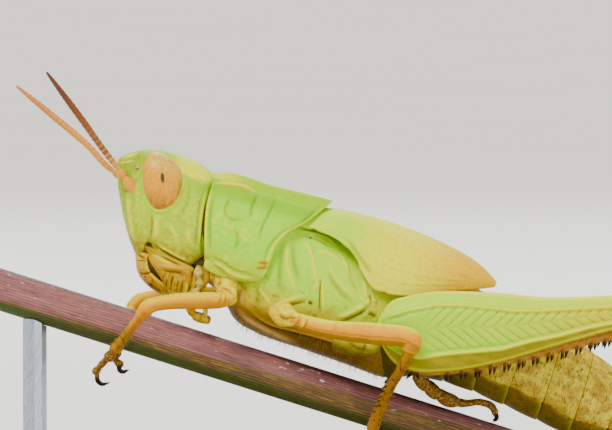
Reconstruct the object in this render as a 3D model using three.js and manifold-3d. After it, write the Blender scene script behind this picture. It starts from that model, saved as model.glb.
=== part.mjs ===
import * as THREE from "three";
import { mergeVertices } from "three/addons/utils/BufferGeometryUtils.js";
import Module from "manifold-3d";

// A short-horned grasshopper with short wings, gripping a cut stem on a display stand.
// Millimetres, +Z up, origin under the middle of the base plate.
//
// The animal and the stem are laid out in the stem's own frame: x runs from head to tail along the
// stem, z stands away from it, and y is the distance out from the middle plane, given for the right
// side and mirrored for the left. The whole of that frame is then tipped by the stem's slope.

const wasm = await Module();
wasm.setup();

// ---- driving sizes -------------------------------------------------------------------------

const STEM_SLOPE = THREE.MathUtils.degToRad(17.5);
const STEM_RADIUS = 0.83;
const STEM_AROUND = 20; // flats round the stem
const STEM_AXIS_Z = -3.36;
const STEM_FRONT_X = -12.6;
const STEM_REAR_X = 13;

const GAP = 0.05; // the thin cut left between two neighbouring pieces
const LEAST_RADIUS = 0.27; // of legs and feelers

const BASE_LENGTH = 35;
const BASE_WIDTH = 17;
const BASE_THICKNESS = 2.4;
const BASE_CORNER = 3;
const BASE_BEVEL = 0.35;
const BODY_LIFT = 12.6; // from the floor up to the body frame's origin
const BODY_SHIFT_X = -1.7; // sets the body's middle over the base's

const ROD_RADIUS = 0.5;
const ROD_AROUND = 10;
const ROD_FRONT_X = -12.6;
const ROD_REAR_X = 7.4;

const THIGH_ROOT = { left: { x: 2.95, z: 0 }, right: { x: 2.95, z: -0.16 } };
const THIGH_RISE = { left: 21.4, right: 20.8 }; // degrees above the stem's line
const SEGMENT_FLARE = 0.05; // how far each belly ring stands out over the next

const SIDES = { left: -1, right: 1 };

// ---- finishes ------------------------------------------------------------------------------

const FINISH = {
  headGreen: { color: 0xa9c66a, roughness: 0.5, metalness: 0 },
  shieldGreen: { color: 0x93cc45, roughness: 0.5, metalness: 0 },
  flankGreen: { color: 0xa8cc5e, roughness: 0.55, metalness: 0 },
  padYellow: { color: 0xe3cf63, roughness: 0.5, metalness: 0 },
  thighGreen: { color: 0xa6d04e, roughness: 0.45, metalness: 0 },
  bellyOlive: { color: 0xb5a553, roughness: 0.6, metalness: 0 },
  legTan: { color: 0xe0a35a, roughness: 0.5, metalness: 0 },
  shinBrown: { color: 0xa9773c, roughness: 0.55, metalness: 0 },
  mouthTan: { color: 0xb99a54, roughness: 0.5, metalness: 0 },
  feelerRed: { color: 0xa85a22, roughness: 0.5, metalness: 0 },
  eyeOrange: { color: 0xe0a066, roughness: 0.3, metalness: 0 },
  stemMauve: { color: 0x85545c, roughness: 0.55, metalness: 0 },
  standWood: { color: 0x6b4a32, roughness: 0.5, metalness: 0 },
  standSteel: { color: 0xb8babd, roughness: 0.3, metalness: 1 },
};

// ---- geometry helpers ----------------------------------------------------------------------

const at = (x, y, z) => new THREE.Vector3(x, y, z);
const ACROSS = at(0, 1, 0);
const ALONG = at(1, 0, 0);

// Reads rows of [place, value, ...] at any place between them, smoothly.
function table(rows) {
  const reader = new THREE.CubicInterpolant(
    rows.map((row) => row[0]),
    rows.flatMap((row) => row.slice(1)),
    rows[0].length - 1,
  );
  return (place) => Array.from(reader.evaluate(place));
}

// A line in side view: reads x at a height z from [z, x] rows.
function edge(rows) {
  const read = table(rows);
  return (z) => read(THREE.MathUtils.clamp(z, rows[0][0], rows.at(-1)[0]))[0];
}

const mix = THREE.MathUtils.lerp;
const steps = (count) => Array.from({ length: count + 1 }, (_, i) => i / count);

// One closed skin over rings of points that run the same way round. A ladder of triangles from one
// flank to the other closes each end, so an end that bends with its ring stays smooth.
function loft(rings) {
  const count = rings[0].length;
  const last = (rings.length - 1) * count;
  const faces = [];
  for (let r = 0; r < last; r += count) {
    for (let i = 0; i < count; i += 1) {
      const a = r + i;
      const b = r + ((i + 1) % count);
      faces.push(a, b, b + count, a, b + count, a + count);
    }
  }
  for (let i = 0; i < count / 2; i += 1) {
    const far = (count - i) % count;
    const next = count - i - 1;
    if (next !== i + 1) {
      faces.push(i + 1, i, next);
      faces.push(last + i, last + i + 1, last + next);
    }
    if (far !== i) {
      faces.push(i, far, next);
      faces.push(last + i, last + next, last + far);
    }
  }
  return solidFrom(new THREE.BufferGeometry().setFromPoints(rings.flat()).setIndex(faces));
}

// A solid from a closed geometry, turned to face outwards.
function solidFrom(geometry) {
  const bare = geometry.clone();
  bare.deleteAttribute("normal");
  bare.deleteAttribute("uv");
  const merged = mergeVertices(bare, 1e-5);
  const triVerts = new Uint32Array(merged.index.array);
  const build = () =>
    new wasm.Manifold(
      new wasm.Mesh({ numProp: 3, vertProperties: merged.attributes.position.array, triVerts }),
    );
  const solid = build();
  if (solid.volume() > 0) return solid;
  for (let i = 0; i < triVerts.length; i += 3) {
    [triVerts[i + 1], triVerts[i + 2]] = [triVerts[i + 2], triVerts[i + 1]];
  }
  return build();
}

function geometryFrom(solid) {
  const mesh = solid.getMesh();
  return new THREE.BufferGeometry()
    .setAttribute("position", new THREE.BufferAttribute(mesh.vertProperties, 3))
    .setIndex(new THREE.BufferAttribute(mesh.triVerts, 1));
}

// The same skin moved outwards, which cuts a clear gap into a neighbour.
function swollen(solid, distance) {
  const geometry = geometryFrom(solid);
  geometry.computeVertexNormals();
  const { position, normal } = geometry.attributes;
  for (let i = 0; i < position.count; i += 1) {
    position.setXYZ(
      i,
      position.getX(i) + normal.getX(i) * distance,
      position.getY(i) + normal.getY(i) * distance,
      position.getZ(i) + normal.getZ(i) * distance,
    );
  }
  return solidFrom(geometry);
}

const largest = (solid) => solid.decompose().sort((a, b) => b.volume() - a.volume())[0];
const joined = (solids) => solids.reduce((whole, solid) => whole.add(solid));

// A ring in the y-z plane through half an outline of [y, z] points, crest first and keel last.
function smoothRing(half, perSpan, place) {
  const flank = half.slice(1, -1);
  const outline = [half[0], ...flank, half.at(-1), ...flank.map(([y, z]) => [-y, z]).reverse()];
  const curve = new THREE.CatmullRomCurve3(outline.map(([y, z]) => at(0, y, z)), true);
  const count = outline.length * perSpan;
  return steps(count)
    .slice(0, count)
    .map((t) => curve.getPoint(t))
    .map((p) => place(p.y, p.z));
}

const END_ROUNDING = 1.15; // angle of the ring that rounds off a limb's end

// A limb: rounded sections along a smooth path. Rows of sizes are [fraction, half width, half depth].
function limb(points, sizes, { sides = 7, rings = 4, across = ACROSS, blunt = true } = {}) {
  const path = new THREE.CatmullRomCurve3(points);
  const sizeAt = table(sizes);
  const section = (t, beyond, scale) => {
    const along = path.getTangentAt(t);
    const wide = across.clone().addScaledVector(along, -across.dot(along)).normalize();
    const deep = at(0, 0, 0).crossVectors(along, wide);
    const [halfWide, halfDeep] = sizeAt(t);
    const centre = path.getPointAt(t).addScaledVector(along, beyond * Math.min(halfWide, halfDeep));
    return steps(sides)
      .slice(0, sides)
      .map((turn) => turn * 2 * Math.PI)
      .map((turn) =>
        centre
          .clone()
          .addScaledVector(deep, Math.cos(turn) * halfDeep * scale)
          .addScaledVector(wide, Math.sin(turn) * halfWide * scale),
      );
  };
  const roundings = blunt ? [END_ROUNDING] : [];
  return loft([
    ...roundings.map((angle) => section(0, -Math.sin(angle), Math.cos(angle))),
    ...steps(rings).map((t) => section(t, 0, 1)),
    ...roundings.map((angle) => section(1, Math.sin(angle), Math.cos(angle))),
  ]);
}

// A straight point from the middle of its root to its tip.
function spike(root, tip, radius, sides = 3) {
  const along = tip.clone().sub(root);
  const cone = new THREE.ConeGeometry(radius, along.length(), sides);
  const turn = new THREE.Quaternion().setFromUnitVectors(ACROSS, along.clone().normalize());
  const middle = root.clone().lerp(tip, 0.5);
  return solidFrom(cone.applyQuaternion(turn).translate(middle.x, middle.y, middle.z));
}

const mirrored = (points, side) => points.map(([x, y, z]) => at(x, y * SIDES[side], z));

// ---- the scene graph -----------------------------------------------------------------------

const grasshopper = new THREE.Group();
const posed = new THREE.Group();
posed.rotation.y = STEM_SLOPE;
posed.position.set(BODY_SHIFT_X, 0, BODY_LIFT);
grasshopper.add(posed);

const made = new Map();

// Adds a named piece after cutting it clear of the pieces it meets.
function addPiece(name, solid, finish, meets = [], group = posed) {
  const cut = meets.reduce((rest, other) => rest.subtract(swollen(made.get(other), GAP)), solid);
  const whole = largest(cut);
  made.set(name, whole);
  const mesh = new THREE.Mesh(geometryFrom(whole), new THREE.MeshStandardMaterial(finish));
  mesh.name = name;
  group.add(mesh);
}

// ---- stem and stand ------------------------------------------------------------------------

function stem() {
  const length = STEM_REAR_X - STEM_FRONT_X;
  return solidFrom(
    new THREE.CylinderGeometry(STEM_RADIUS, STEM_RADIUS, length, STEM_AROUND)
      .rotateZ(-Math.PI / 2)
      .translate((STEM_FRONT_X + STEM_REAR_X) / 2, 0, STEM_AXIS_Z),
  );
}

// The stem as it lies in the stand's own upright frame.
function stemInPlace() {
  posed.updateMatrixWorld(true);
  return solidFrom(geometryFrom(made.get("perch_stem")).applyMatrix4(posed.matrixWorld));
}

function basePlate() {
  const x = BASE_LENGTH / 2 - BASE_BEVEL;
  const y = BASE_WIDTH / 2 - BASE_BEVEL;
  const r = BASE_CORNER - BASE_BEVEL;
  const outline = new THREE.Shape()
    .moveTo(-x + r, -y)
    .lineTo(x - r, -y)
    .absarc(x - r, -y + r, r, -Math.PI / 2, 0)
    .absarc(x - r, y - r, r, 0, Math.PI / 2)
    .absarc(-x + r, y - r, r, Math.PI / 2, Math.PI)
    .absarc(-x + r, -y + r, r, Math.PI, Math.PI * 1.5);
  const plate = new THREE.ExtrudeGeometry(outline, {
    depth: BASE_THICKNESS - BASE_BEVEL,
    bevelThickness: BASE_BEVEL,
    bevelSize: BASE_BEVEL,
    bevelSegments: 1,
    curveSegments: 3,
  });
  return solidFrom(plate).trimByPlane([0, 0, 1], 0); // only the upper edge keeps its bevel
}

function rod(x) {
  const top = BODY_LIFT + STEM_AXIS_Z - Math.tan(STEM_SLOPE) * (x - BODY_SHIFT_X);
  const foot = BASE_THICKNESS + GAP;
  return solidFrom(
    new THREE.CylinderGeometry(ROD_RADIUS, ROD_RADIUS, top - foot, ROD_AROUND)
      .rotateX(Math.PI / 2)
      .translate(x, 0, (top + foot) / 2),
  );
}

addPiece("perch_stem", stem(), FINISH.stemMauve);
addPiece("stand_base", basePlate(), FINISH.standWood, [], grasshopper);
made.set("stem_in_place", stemInPlace());
addPiece("stand_rod_front", rod(ROD_FRONT_X), FINISH.standSteel, ["stem_in_place"], grasshopper);
addPiece("stand_rod_rear", rod(ROD_REAR_X), FINISH.standSteel, ["stem_in_place"], grasshopper);

// ---- head ----------------------------------------------------------------------------------

// Level slices from the mouth to the crown: z, front x, widest x, rear x, half width, and how
// squarely the face turns into the cheeks.
const HEAD_LEVELS = table([
  [-0.15, -7.12, -5.8, -4.78, 1.32, 2.6],
  [0.4, -7.6, -5.75, -4.56, 1.58, 2.6],
  [1.4, -8.2, -5.8, -4.72, 1.72, 2.5],
  [2.3, -8.64, -5.95, -4.97, 1.62, 2.1],
  [3.05, -8.86, -6.1, -5.05, 1.42, 1.75],
  [3.5, -8.4, -6.15, -5.12, 1.12, 1.8],
  [3.82, -7.75, -6.4, -5.5, 0.72, 2],
  [3.96, -7.1, -6.6, -6.05, 0.34, 2],
]);
const HEAD_HEIGHTS = [-0.15, 0.3, 1, 1.8, 2.5, 3.05, 3.35, 3.64, 3.85, 3.96];
const HEAD_AROUND = 18; // points in each level ring
const NAPE_SQUARE = 3.4; // how squarely the cheeks turn into the nape

const power = (value, exponent) => Math.sign(value) * Math.abs(value) ** exponent;

// A level ring between a front and a rear, and between two sides, squarer or rounder at each end.
function levelRing(z, { front, widest, rear, near, far, frontSquare, rearSquare }, count) {
  return steps(count)
    .slice(0, count)
    .map((turn) => {
      const c = Math.cos(turn * 2 * Math.PI);
      const s = Math.sin(turn * 2 * Math.PI);
      const exponent = 2 / (c > 0 ? frontSquare : rearSquare);
      const reach = c > 0 ? widest - front : rear - widest;
      const y = (near + far) / 2 + (power(s, exponent) * (far - near)) / 2;
      return at(widest - power(c, exponent) * reach, y, z);
    });
}

function headCapsule() {
  return loft(
    HEAD_HEIGHTS.map((z) => {
      const [front, widest, rear, half, frontSquare] = HEAD_LEVELS(z);
      const shape = { front, widest, rear, near: -half, far: half, frontSquare, rearSquare: NAPE_SQUARE };
      return levelRing(z, shape, HEAD_AROUND);
    }),
  );
}

// An egg standing on its narrow end, fuller behind than in front. It leans forward towards its top,
// and its foot stands further out than its top.
const EYE = { x: -7.07, y: 1.25, z: 2.76, front: 0.66, rear: 1.02, halfWidth: 0.62, halfHeight: 1.12 };
const EYE_TAPER = 0.13;
const EYE_LEAN = { forward: 0.3, inward: 0.22 };

function eye(side) {
  const egg = new THREE.SphereGeometry(1, 12, 9).rotateX(Math.PI / 2);
  const { position } = egg.attributes;
  for (let i = 0; i < position.count; i += 1) {
    const u = position.getX(i);
    const v = position.getZ(i);
    const swell = 1 + EYE_TAPER * v;
    position.setXYZ(
      i,
      EYE.x - EYE_LEAN.forward * v + u * swell * (u < 0 ? EYE.front : EYE.rear),
      SIDES[side] * (EYE.y - EYE_LEAN.inward * v) + position.getY(i) * EYE.halfWidth * swell,
      EYE.z + v * EYE.halfHeight,
    );
  }
  return solidFrom(egg);
}

const ANTENNA = {
  left: [
    [-7.9, 1.0, 2.05],
    [-8.42, 1.02, 2.52],
    [-9.6, 1.15, 3.38],
    [-10.7, 1.4, 4.2],
    [-12.45, 1.9, 5.46],
  ],
  right: [
    [-7.9, 1.0, 2.05],
    [-8.45, 1.1, 2.44],
    [-10.2, 1.7, 3.17],
    [-11.8, 2.4, 3.76],
    [-13.35, 3.1, 4.37],
  ],
};

function antenna(side) {
  const sizes = [
    [0, 0.32, 0.32],
    [0.1, 0.3, 0.3],
    [0.2, LEAST_RADIUS, LEAST_RADIUS],
    [1, LEAST_RADIUS, LEAST_RADIUS],
  ];
  return limb(mirrored(ANTENNA[side], side), sizes, { sides: 6, rings: 7 });
}

// ---- mouthparts ----------------------------------------------------------------------------

function faceShield(points, sizes) {
  return limb(mirrored(points, "right"), sizes, { sides: 8, rings: 2 });
}

function clypeus() {
  return faceShield(
    [
      [-6.88, 0, -0.2],
      [-6.86, 0, -0.34],
      [-6.8, 0, -0.5],
    ],
    [
      [0, 1.12, 0.27],
      [1, 1.05, 0.26],
    ],
  );
}

function labrum() {
  return faceShield(
    [
      [-6.68, 0, -0.8],
      [-6.42, 0, -1.14],
      [-5.98, 0, -1.4],
      [-5.45, 0, -1.52],
    ],
    [
      [0, 1.05, 0.25],
      [0.5, 0.98, 0.25],
      [1, 0.7, 0.25],
    ],
  );
}

// Level slices of a jaw from its cutting edge up to the hinge: z, front x, rear x and outer y.
const JAW_LEVELS = table([
  [-1.42, -5.5, -4.95, 0.85],
  [-0.95, -6.05, -4.78, 1.2],
  [-0.4, -6.5, -4.72, 1.46],
  [-0.05, -6.66, -4.82, 1.54],
  [0.08, -6.75, -5.72, 1.54],
  [0.2, -6.83, -6.5, 1.5],
]);
const JAW_HEIGHTS = [-1.42, -0.95, -0.4, -0.05, 0.08, 0.2];
const JAW_SQUARE = 3;
const JAW_AROUND = 10;
const JAW_INNER = 0.05;

function mandible(side) {
  const sign = SIDES[side];
  return loft(
    JAW_HEIGHTS.map((z) => {
      const [front, rear, outer] = JAW_LEVELS(z);
      const shape = { front, widest: (front + rear) / 2, rear, near: JAW_INNER * sign, far: outer * sign };
      return levelRing(z, { ...shape, frontSquare: JAW_SQUARE, rearSquare: JAW_SQUARE }, JAW_AROUND);
    }),
  );
}

function labium() {
  const lip = [
    [-4.5, 0, -0.2],
    [-4.45, 0, -0.7],
    [-4.55, 0, -1.3],
  ];
  const sizes = [
    [0, 0.95, 0.24],
    [0.5, 0.85, 0.26],
    [1, 0.55, 0.24],
  ];
  return limb(mirrored(lip, "right"), sizes, { sides: 8, rings: 2 });
}

function palp(side) {
  const feeler = [
    [-4.5, 1.1, -0.35],
    [-4.35, 1.12, -1.0],
    [-4.25, 1.0, -1.65],
    [-3.95, 0.85, -1.97],
    [-3.75, 0.8, -2.0],
  ];
  const sizes = [
    [0, 0.24, 0.24],
    [0.6, 0.2, 0.2],
    [1, 0.2, 0.2],
  ];
  return limb(mirrored(feeler, side), sizes, { sides: 5, rings: 5 });
}

addPiece("labrum", labrum(), FINISH.mouthTan);
addPiece("mandible_left", mandible("left"), FINISH.mouthTan, ["labrum"]);
addPiece("mandible_right", mandible("right"), FINISH.mouthTan, ["labrum", "mandible_left"]);
addPiece("head", headCapsule(), FINISH.headGreen, ["mandible_left", "mandible_right"]);
for (const side of ["left", "right"]) {
  addPiece(`eye_${side}`, eye(side), FINISH.eyeOrange, ["head"]);
  addPiece(`antenna_${side}`, antenna(side), FINISH.feelerRed, ["head", `eye_${side}`]);
}
const JAWS = ["labrum", "mandible_left", "mandible_right"];
addPiece("clypeus", clypeus(), FINISH.mouthTan, ["head", ...JAWS]);
addPiece("labium", labium(), FINISH.mouthTan, ["head", ...JAWS]);
for (const side of ["left", "right"]) {
  addPiece(`palp_${side}`, palp(side), FINISH.mouthTan, ["head", "labium", ...JAWS]);
}

// ---- trunk ---------------------------------------------------------------------------------

// Half outlines of the trunk at places along it: crest height, then out and up to the shoulder,
// flank and hem, then the keel's height.
const halfOutline = ([crest, shoulderY, shoulderZ, flankY, flankZ, hemY, hemZ, keel]) => [
  [0, crest],
  [shoulderY, shoulderZ],
  [flankY, flankZ],
  [hemY, hemZ],
  [0, keel],
];

// The saddle over the front of the thorax, between a front and a rear margin seen from the side.
const SADDLE_FRONT = edge([
  [0, -4.3],
  [0.5, -4.42],
  [0.9, -4.52],
  [1.5, -4.68],
  [2.5, -4.92],
  [3.35, -4.99],
  [3.7, -5.12],
]);
const SADDLE_REAR = edge([
  [0, -2.05],
  [0.6, -1.86],
  [1.2, -1.82],
  [2.1, -1.68],
  [2.5, -1.45],
  [2.8, -1.12],
  [3.5, -0.55],
  [4.05, -0.15],
]);
const SADDLE_OUTLINES = table([
  [0, 3.66, 1.2, 3.32, 1.78, 1.7, 1.6, 0.42, 0.34],
  [0.15, 3.86, 1.1, 3.5, 1.84, 1.7, 1.66, 0.32, 0.26],
  [0.5, 3.86, 1.14, 3.46, 1.9, 1.7, 1.76, 0.02, 0.02],
  [0.8, 3.97, 1.35, 3.34, 2.0, 1.7, 1.85, 0.06, 0.06],
  [1, 4.05, 1.5, 3.2, 2.08, 1.7, 1.9, 0.16, 0.16],
]);

function pronotum() {
  return loft(
    steps(6).map((t) =>
      smoothRing(halfOutline(SADDLE_OUTLINES(t)), 3, (y, z) =>
        at(mix(SADDLE_FRONT(z), SADDLE_REAR(z), t), y, z),
      ),
    ),
  );
}

const BODY_OUTLINES = table([
  [-2.95, -0.45, 0.4, -0.58, 0.62, -0.85, 0.42, -1.16, -1.24],
  [-2.6, 1.4, 0.95, 0.9, 1.35, 0, 1.05, -1.15, -1.64],
  [-1.8, 2.8, 1.35, 2.05, 1.86, 0.5, 1.42, -1.2, -1.92],
  [0, 3.15, 1.45, 2.4, 2.02, 0.6, 1.6, -1.28, -2.0],
  [1.6, 3.1, 1.4, 2.3, 2.0, 0.6, 1.6, -1.3, -2.06],
  [3, 2.95, 1.3, 2.15, 1.88, 0.5, 1.45, -1.3, -2.1],
  [4.6, 2.8, 1.25, 2.0, 1.75, 0.4, 1.2, -1.08, -1.64],
  [7, 2.35, 1.2, 1.7, 1.7, 0.25, 1.15, -0.95, -1.52],
  [9, 2.02, 1.15, 1.35, 1.7, 0.05, 1.15, -1.08, -1.7],
  [11, 1.6, 1.1, 0.98, 1.65, -0.15, 1.12, -1.3, -1.95],
  [13, 0.86, 0.92, 0.35, 1.38, -0.45, 0.95, -1.5, -2.1],
  [14.8, 0, 0.66, -0.3, 1.0, -0.85, 0.66, -1.62, -2.02],
  [16.2, -0.82, 0.36, -0.98, 0.52, -1.22, 0.36, -1.5, -1.72],
]);

// A seam across the body: its place at z = 0 and how far it leans forward for each mm of height.
const seamAt =
  ({ x, lean }) =>
  (z) =>
    x - lean * z;

const THORAX_FRONT = { x: -2.95, lean: 0 };
const THORAX_SEAM = { x: 0.45, lean: 0.42 };
const WAIST = { x: 3, lean: 0.46 };
const BELLY_SEAMS = [
  WAIST,
  { x: 4.5, lean: 0.32 },
  { x: 5.95, lean: 0.2 },
  { x: 7.4, lean: 0.08 },
  { x: 8.85, lean: 0 },
  { x: 10.3, lean: 0 },
  { x: 11.7, lean: 0 },
  { x: 13.1, lean: 0 },
  { x: 14.4, lean: 0 },
  { x: 15.5, lean: 0 },
];

// A length of the body between two seams. flare(t) widens its outline along it.
function bodyLength(from, to, rings, perSpan, flare = () => 0) {
  const start = seamAt(from);
  const end = seamAt({ x: to.x - GAP, lean: to.lean });
  return loft(
    steps(rings).map((t) => {
      const outline = halfOutline(BODY_OUTLINES(mix(from.x, to.x, t)));
      const middle = (outline[0][1] + outline.at(-1)[1]) / 2;
      return smoothRing(outline, perSpan, (y, z) => {
        const grown = 1 + flare(t) / Math.max(0.5, Math.hypot(y, z - middle));
        const height = middle + (z - middle) * grown;
        return at(mix(start(z), end(z), t), y * grown, height);
      });
    }),
  );
}

// The forebody's underside between the fore legs, with the small plate in front of each coxa.
function prosternum() {
  const block = [
    [-4.05, 0, -0.2],
    [-3.4, 0, -0.32],
    [-2.7, 0, -0.4],
  ];
  const sizes = [
    [0, 1.1, 0.34],
    [0.5, 1.42, 0.46],
    [1, 1.4, 0.5],
  ];
  return limb(mirrored(block, "right"), sizes, { sides: 8, rings: 2 });
}

// The tail: a small shield over two pairs of short egg-laying points.
const TAIL_SHIELD_X = 15.5;
const TAIL_END_X = 16.2;
const TAIL_CLOSING = 0.7; // how far apart the points end, as a share of their roots
const TAIL_POINTS = {
  rootX: 15.9,
  tipX: 17.1,
  apart: 0.16,
  upper: [-1.1, -1.3],
  lower: [-1.48, -1.72],
  radius: 0.26,
};

function tailTip() {
  const { rootX, tipX, apart, upper, lower, radius } = TAIL_POINTS;
  const points = [upper, lower].flatMap(([rootZ, tipZ]) =>
    [-apart, apart].map((y) =>
      spike(at(rootX, y, rootZ), at(tipX, y * TAIL_CLOSING, tipZ), radius, 6),
    ),
  );
  const shield = bodyLength({ x: TAIL_SHIELD_X, lean: 0 }, { x: TAIL_END_X, lean: 0 }, 2, 2);
  return joined([shield, ...points]);
}

addPiece("pronotum", pronotum(), FINISH.shieldGreen, ["head"]);
addPiece("prosternum", prosternum(), FINISH.bellyOlive, ["head", "pronotum", "labium"]);
addPiece("mesothorax", bodyLength(THORAX_FRONT, THORAX_SEAM, 4, 2), FINISH.flankGreen, [
  "pronotum",
  "prosternum",
]);
addPiece("metathorax", bodyLength(THORAX_SEAM, WAIST, 3, 2), FINISH.flankGreen, ["pronotum"]);
BELLY_SEAMS.slice(1).forEach((to, i) => {
  const flare = (t) => SEGMENT_FLARE * (2 * t - 1);
  addPiece(`abdomen_${i + 1}`, bodyLength(BELLY_SEAMS[i], to, 2, 2, flare), FINISH.bellyOlive, [
    i ? `abdomen_${i}` : "metathorax",
  ]);
});
addPiece("abdomen_tip", tailTip(), FINISH.bellyOlive, ["abdomen_9"]);

// ---- wing pads -----------------------------------------------------------------------------

const WING_THICKNESS = 0.5;
const WING_TIP_THICKNESS = 0.9; // near the tip, as a share of the height left there
const WING_RIDGE = [
  [-0.3, 0.06, 3.74],
  [1, 0.06, 3.9],
  [3, 0.06, 3.93],
  [5, 0.1, 3.72],
  [6.2, 0.38, 3.42],
  [7.1, 0.85, 2.94],
];
const WING_HEM = [
  [-0.75, 1.6, 2.85],
  [0.4, 1.95, 2.72],
  [1.25, 2.05, 2.4],
  [1.85, 2.15, 1.75],
  [2.4, 2.2, 1.28],
  [3.1, 2.2, 1.22],
  [4.1, 2.15, 1.5],
  [5.2, 1.95, 2.02],
  [6.3, 1.5, 2.42],
  [7.06, 1.05, 2.74],
];
const WING_BULGE = 0.27; // how far the pad swells out from a flat sheet, as a share of its height
const WING_BULGE_TOWARDS = { y: 0.86, z: 0.5 };
const WING_ROWS = 5; // from ridge to hem
const WING_RINGS = 9; // from root to tip
const WING_TIP = 0.985;

function wing(side) {
  const ridge = new THREE.CatmullRomCurve3(mirrored(WING_RIDGE, side));
  const hem = new THREE.CatmullRomCurve3(mirrored(WING_HEM, side));
  const outwards = at(0, SIDES[side] * WING_BULGE_TOWARDS.y, WING_BULGE_TOWARDS.z);
  const ring = (a) => {
    const top = ridge.getPointAt(a);
    const low = hem.getPointAt(a);
    const drop = top.distanceTo(low);
    const swell = (u) => Math.sin(Math.PI * u) * drop * WING_BULGE;
    const outer = steps(WING_ROWS).map((u) =>
      top.clone().lerp(low, u).addScaledVector(outwards, swell(u)),
    );
    const thick = Math.min(WING_THICKNESS, drop * WING_TIP_THICKNESS);
    const inner = outer.map((p, i) => {
      const run = outer[Math.min(i + 1, WING_ROWS)].clone().sub(outer[Math.max(i - 1, 0)]);
      const inwards = at(0, 0, 0).crossVectors(ALONG, run).multiplyScalar(-SIDES[side]);
      return p.clone().addScaledVector(inwards.normalize(), thick);
    });
    return [...outer, ...inner.reverse()];
  };
  return loft(steps(WING_RINGS).map((t) => ring(t * WING_TIP)));
}

const UNDER_WINGS = ["pronotum", "mesothorax", "metathorax", "abdomen_1", "abdomen_2", "abdomen_3"];
for (const side of ["left", "right"]) {
  addPiece(`wing_${side}`, wing(side), FINISH.padYellow, [
    ...UNDER_WINGS,
    ...(side === "right" ? ["wing_left"] : []),
  ]);
}

// ---- legs ----------------------------------------------------------------------------------

const CLAW_SIZES = [[0, 0.13, 0.13], [1, 0.04, 0.04]];
const CLAW_SPREAD = 0.16;

// Two claws at the end of a foot, spread either side of the line it points along.
function claws(root, tip, side, spread = ACROSS) {
  const [from, to] = mirrored([root, tip], side);
  return [-CLAW_SPREAD, CLAW_SPREAD].map((apart) => {
    const path = [from, to.clone().addScaledVector(spread, apart)];
    return limb(path, CLAW_SIZES, { sides: 4, rings: 1, across: spread, blunt: false });
  });
}

const ROUND = LEAST_RADIUS;
const FORE = {
  left: {
    coxa: [[-3.35, 1.1, -0.2], [-3.1, 1.5, -0.6], [-2.95, 1.85, -0.85]],
    femur: [[-3.25, 2.15, -1.0], [-4.0, 2.5, -1.25], [-5.0, 2.8, -1.58], [-5.9, 3.0, -2.06]],
    tibia: [[-6.08, 2.85, -2.45], [-6.3, 2.15, -3.08], [-6.54, 1.45, -3.8], [-6.7, 1.2, -4.2]],
    tarsus: [[-6.85, 1.0, -4.6], [-7.02, 0.8, -4.95], [-7.16, 0.6, -5.3]],
    claws: [[-7.12, 0.55, -5.38], [-6.72, 0.3, -5.66]],
  },
  right: {
    coxa: [[-3.35, 1.1, -0.2], [-3.1, 1.5, -0.6], [-2.95, 1.85, -0.85]],
    femur: [[-3.25, 2.15, -1.0], [-4.3, 2.6, -1.3], [-5.4, 2.95, -1.75], [-6.33, 3.12, -2.24]],
    tibia: [[-6.55, 2.95, -2.6], [-6.64, 2.3, -3.15], [-6.62, 1.55, -3.85], [-6.62, 1.25, -4.2]],
    tarsus: [[-6.62, 1.0, -4.5], [-6.54, 0.72, -4.72], [-6.36, 0.42, -4.8]],
    claws: [[-6.3, 0.35, -4.8], [-5.98, 0.1, -4.95]],
  },
};
const MID_UPPER = {
  coxa: [[-0.85, 1.55, -0.72], [-0.6, 1.9, -0.8], [-0.35, 2.15, -0.84]],
  femur: [[0.05, 2.45, -0.86], [1.3, 2.98, -0.76], [3.0, 3.58, -0.38], [4.55, 3.98, -0.12]],
};
const MID = {
  left: {
    ...MID_UPPER,
    tibia: [[4.78, 3.9, -0.55], [4.55, 3.3, -1.4], [4.3, 2.4, -2.4], [4.14, 1.65, -3.45], [4.1, 1.35, -4.1]],
    tarsus: [[4.12, 1.12, -4.42], [4.2, 0.65, -4.6], [4.35, -0.05, -4.58]],
    claws: [[4.38, -0.15, -4.55], [4.5, -0.6, -4.3]],
  },
  right: {
    ...MID_UPPER,
    tibia: [[4.78, 3.9, -0.55], [4.55, 3.3, -1.4], [4.32, 2.4, -2.4], [4.5, 1.65, -3.4], [4.95, 1.35, -4.1]],
    tarsus: [[5.1, 1.12, -4.42], [5.2, 0.65, -4.6], [5.3, -0.05, -4.58]],
    claws: [[5.32, -0.15, -4.55], [5.4, -0.6, -4.3]],
  },
};
const LEG_SIZES = {
  fore: {
    coxa: [[0, 0.42, 0.5], [0.6, 0.38, 0.42], [1, 0.3, 0.32]],
    femur: [[0, 0.26, 0.28], [0.35, 0.3, 0.32], [0.8, 0.26, 0.28], [1, 0.27, 0.28]],
    tibia: [[0, ROUND, ROUND], [1, ROUND, ROUND]],
    tarsus: [[0, ROUND, ROUND], [1, ROUND, 0.2]],
  },
  mid: {
    coxa: [[0, 0.46, 0.5], [0.6, 0.44, 0.48], [1, 0.32, 0.34]],
    femur: [[0, 0.26, 0.28], [0.3, 0.3, 0.34], [0.65, 0.32, 0.42], [0.88, 0.3, 0.4], [1, 0.28, 0.33]],
    tibia: [[0, ROUND, ROUND], [1, ROUND, ROUND]],
    tarsus: [[0, ROUND, ROUND], [1, ROUND, 0.2]],
  },
};
// What each piece of a walking leg is cut clear of, besides the piece above it.
const LEG_MEETS = {
  fore: ["prosternum", "mesothorax", "pronotum"],
  mid: ["mesothorax", "metathorax"],
};

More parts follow.
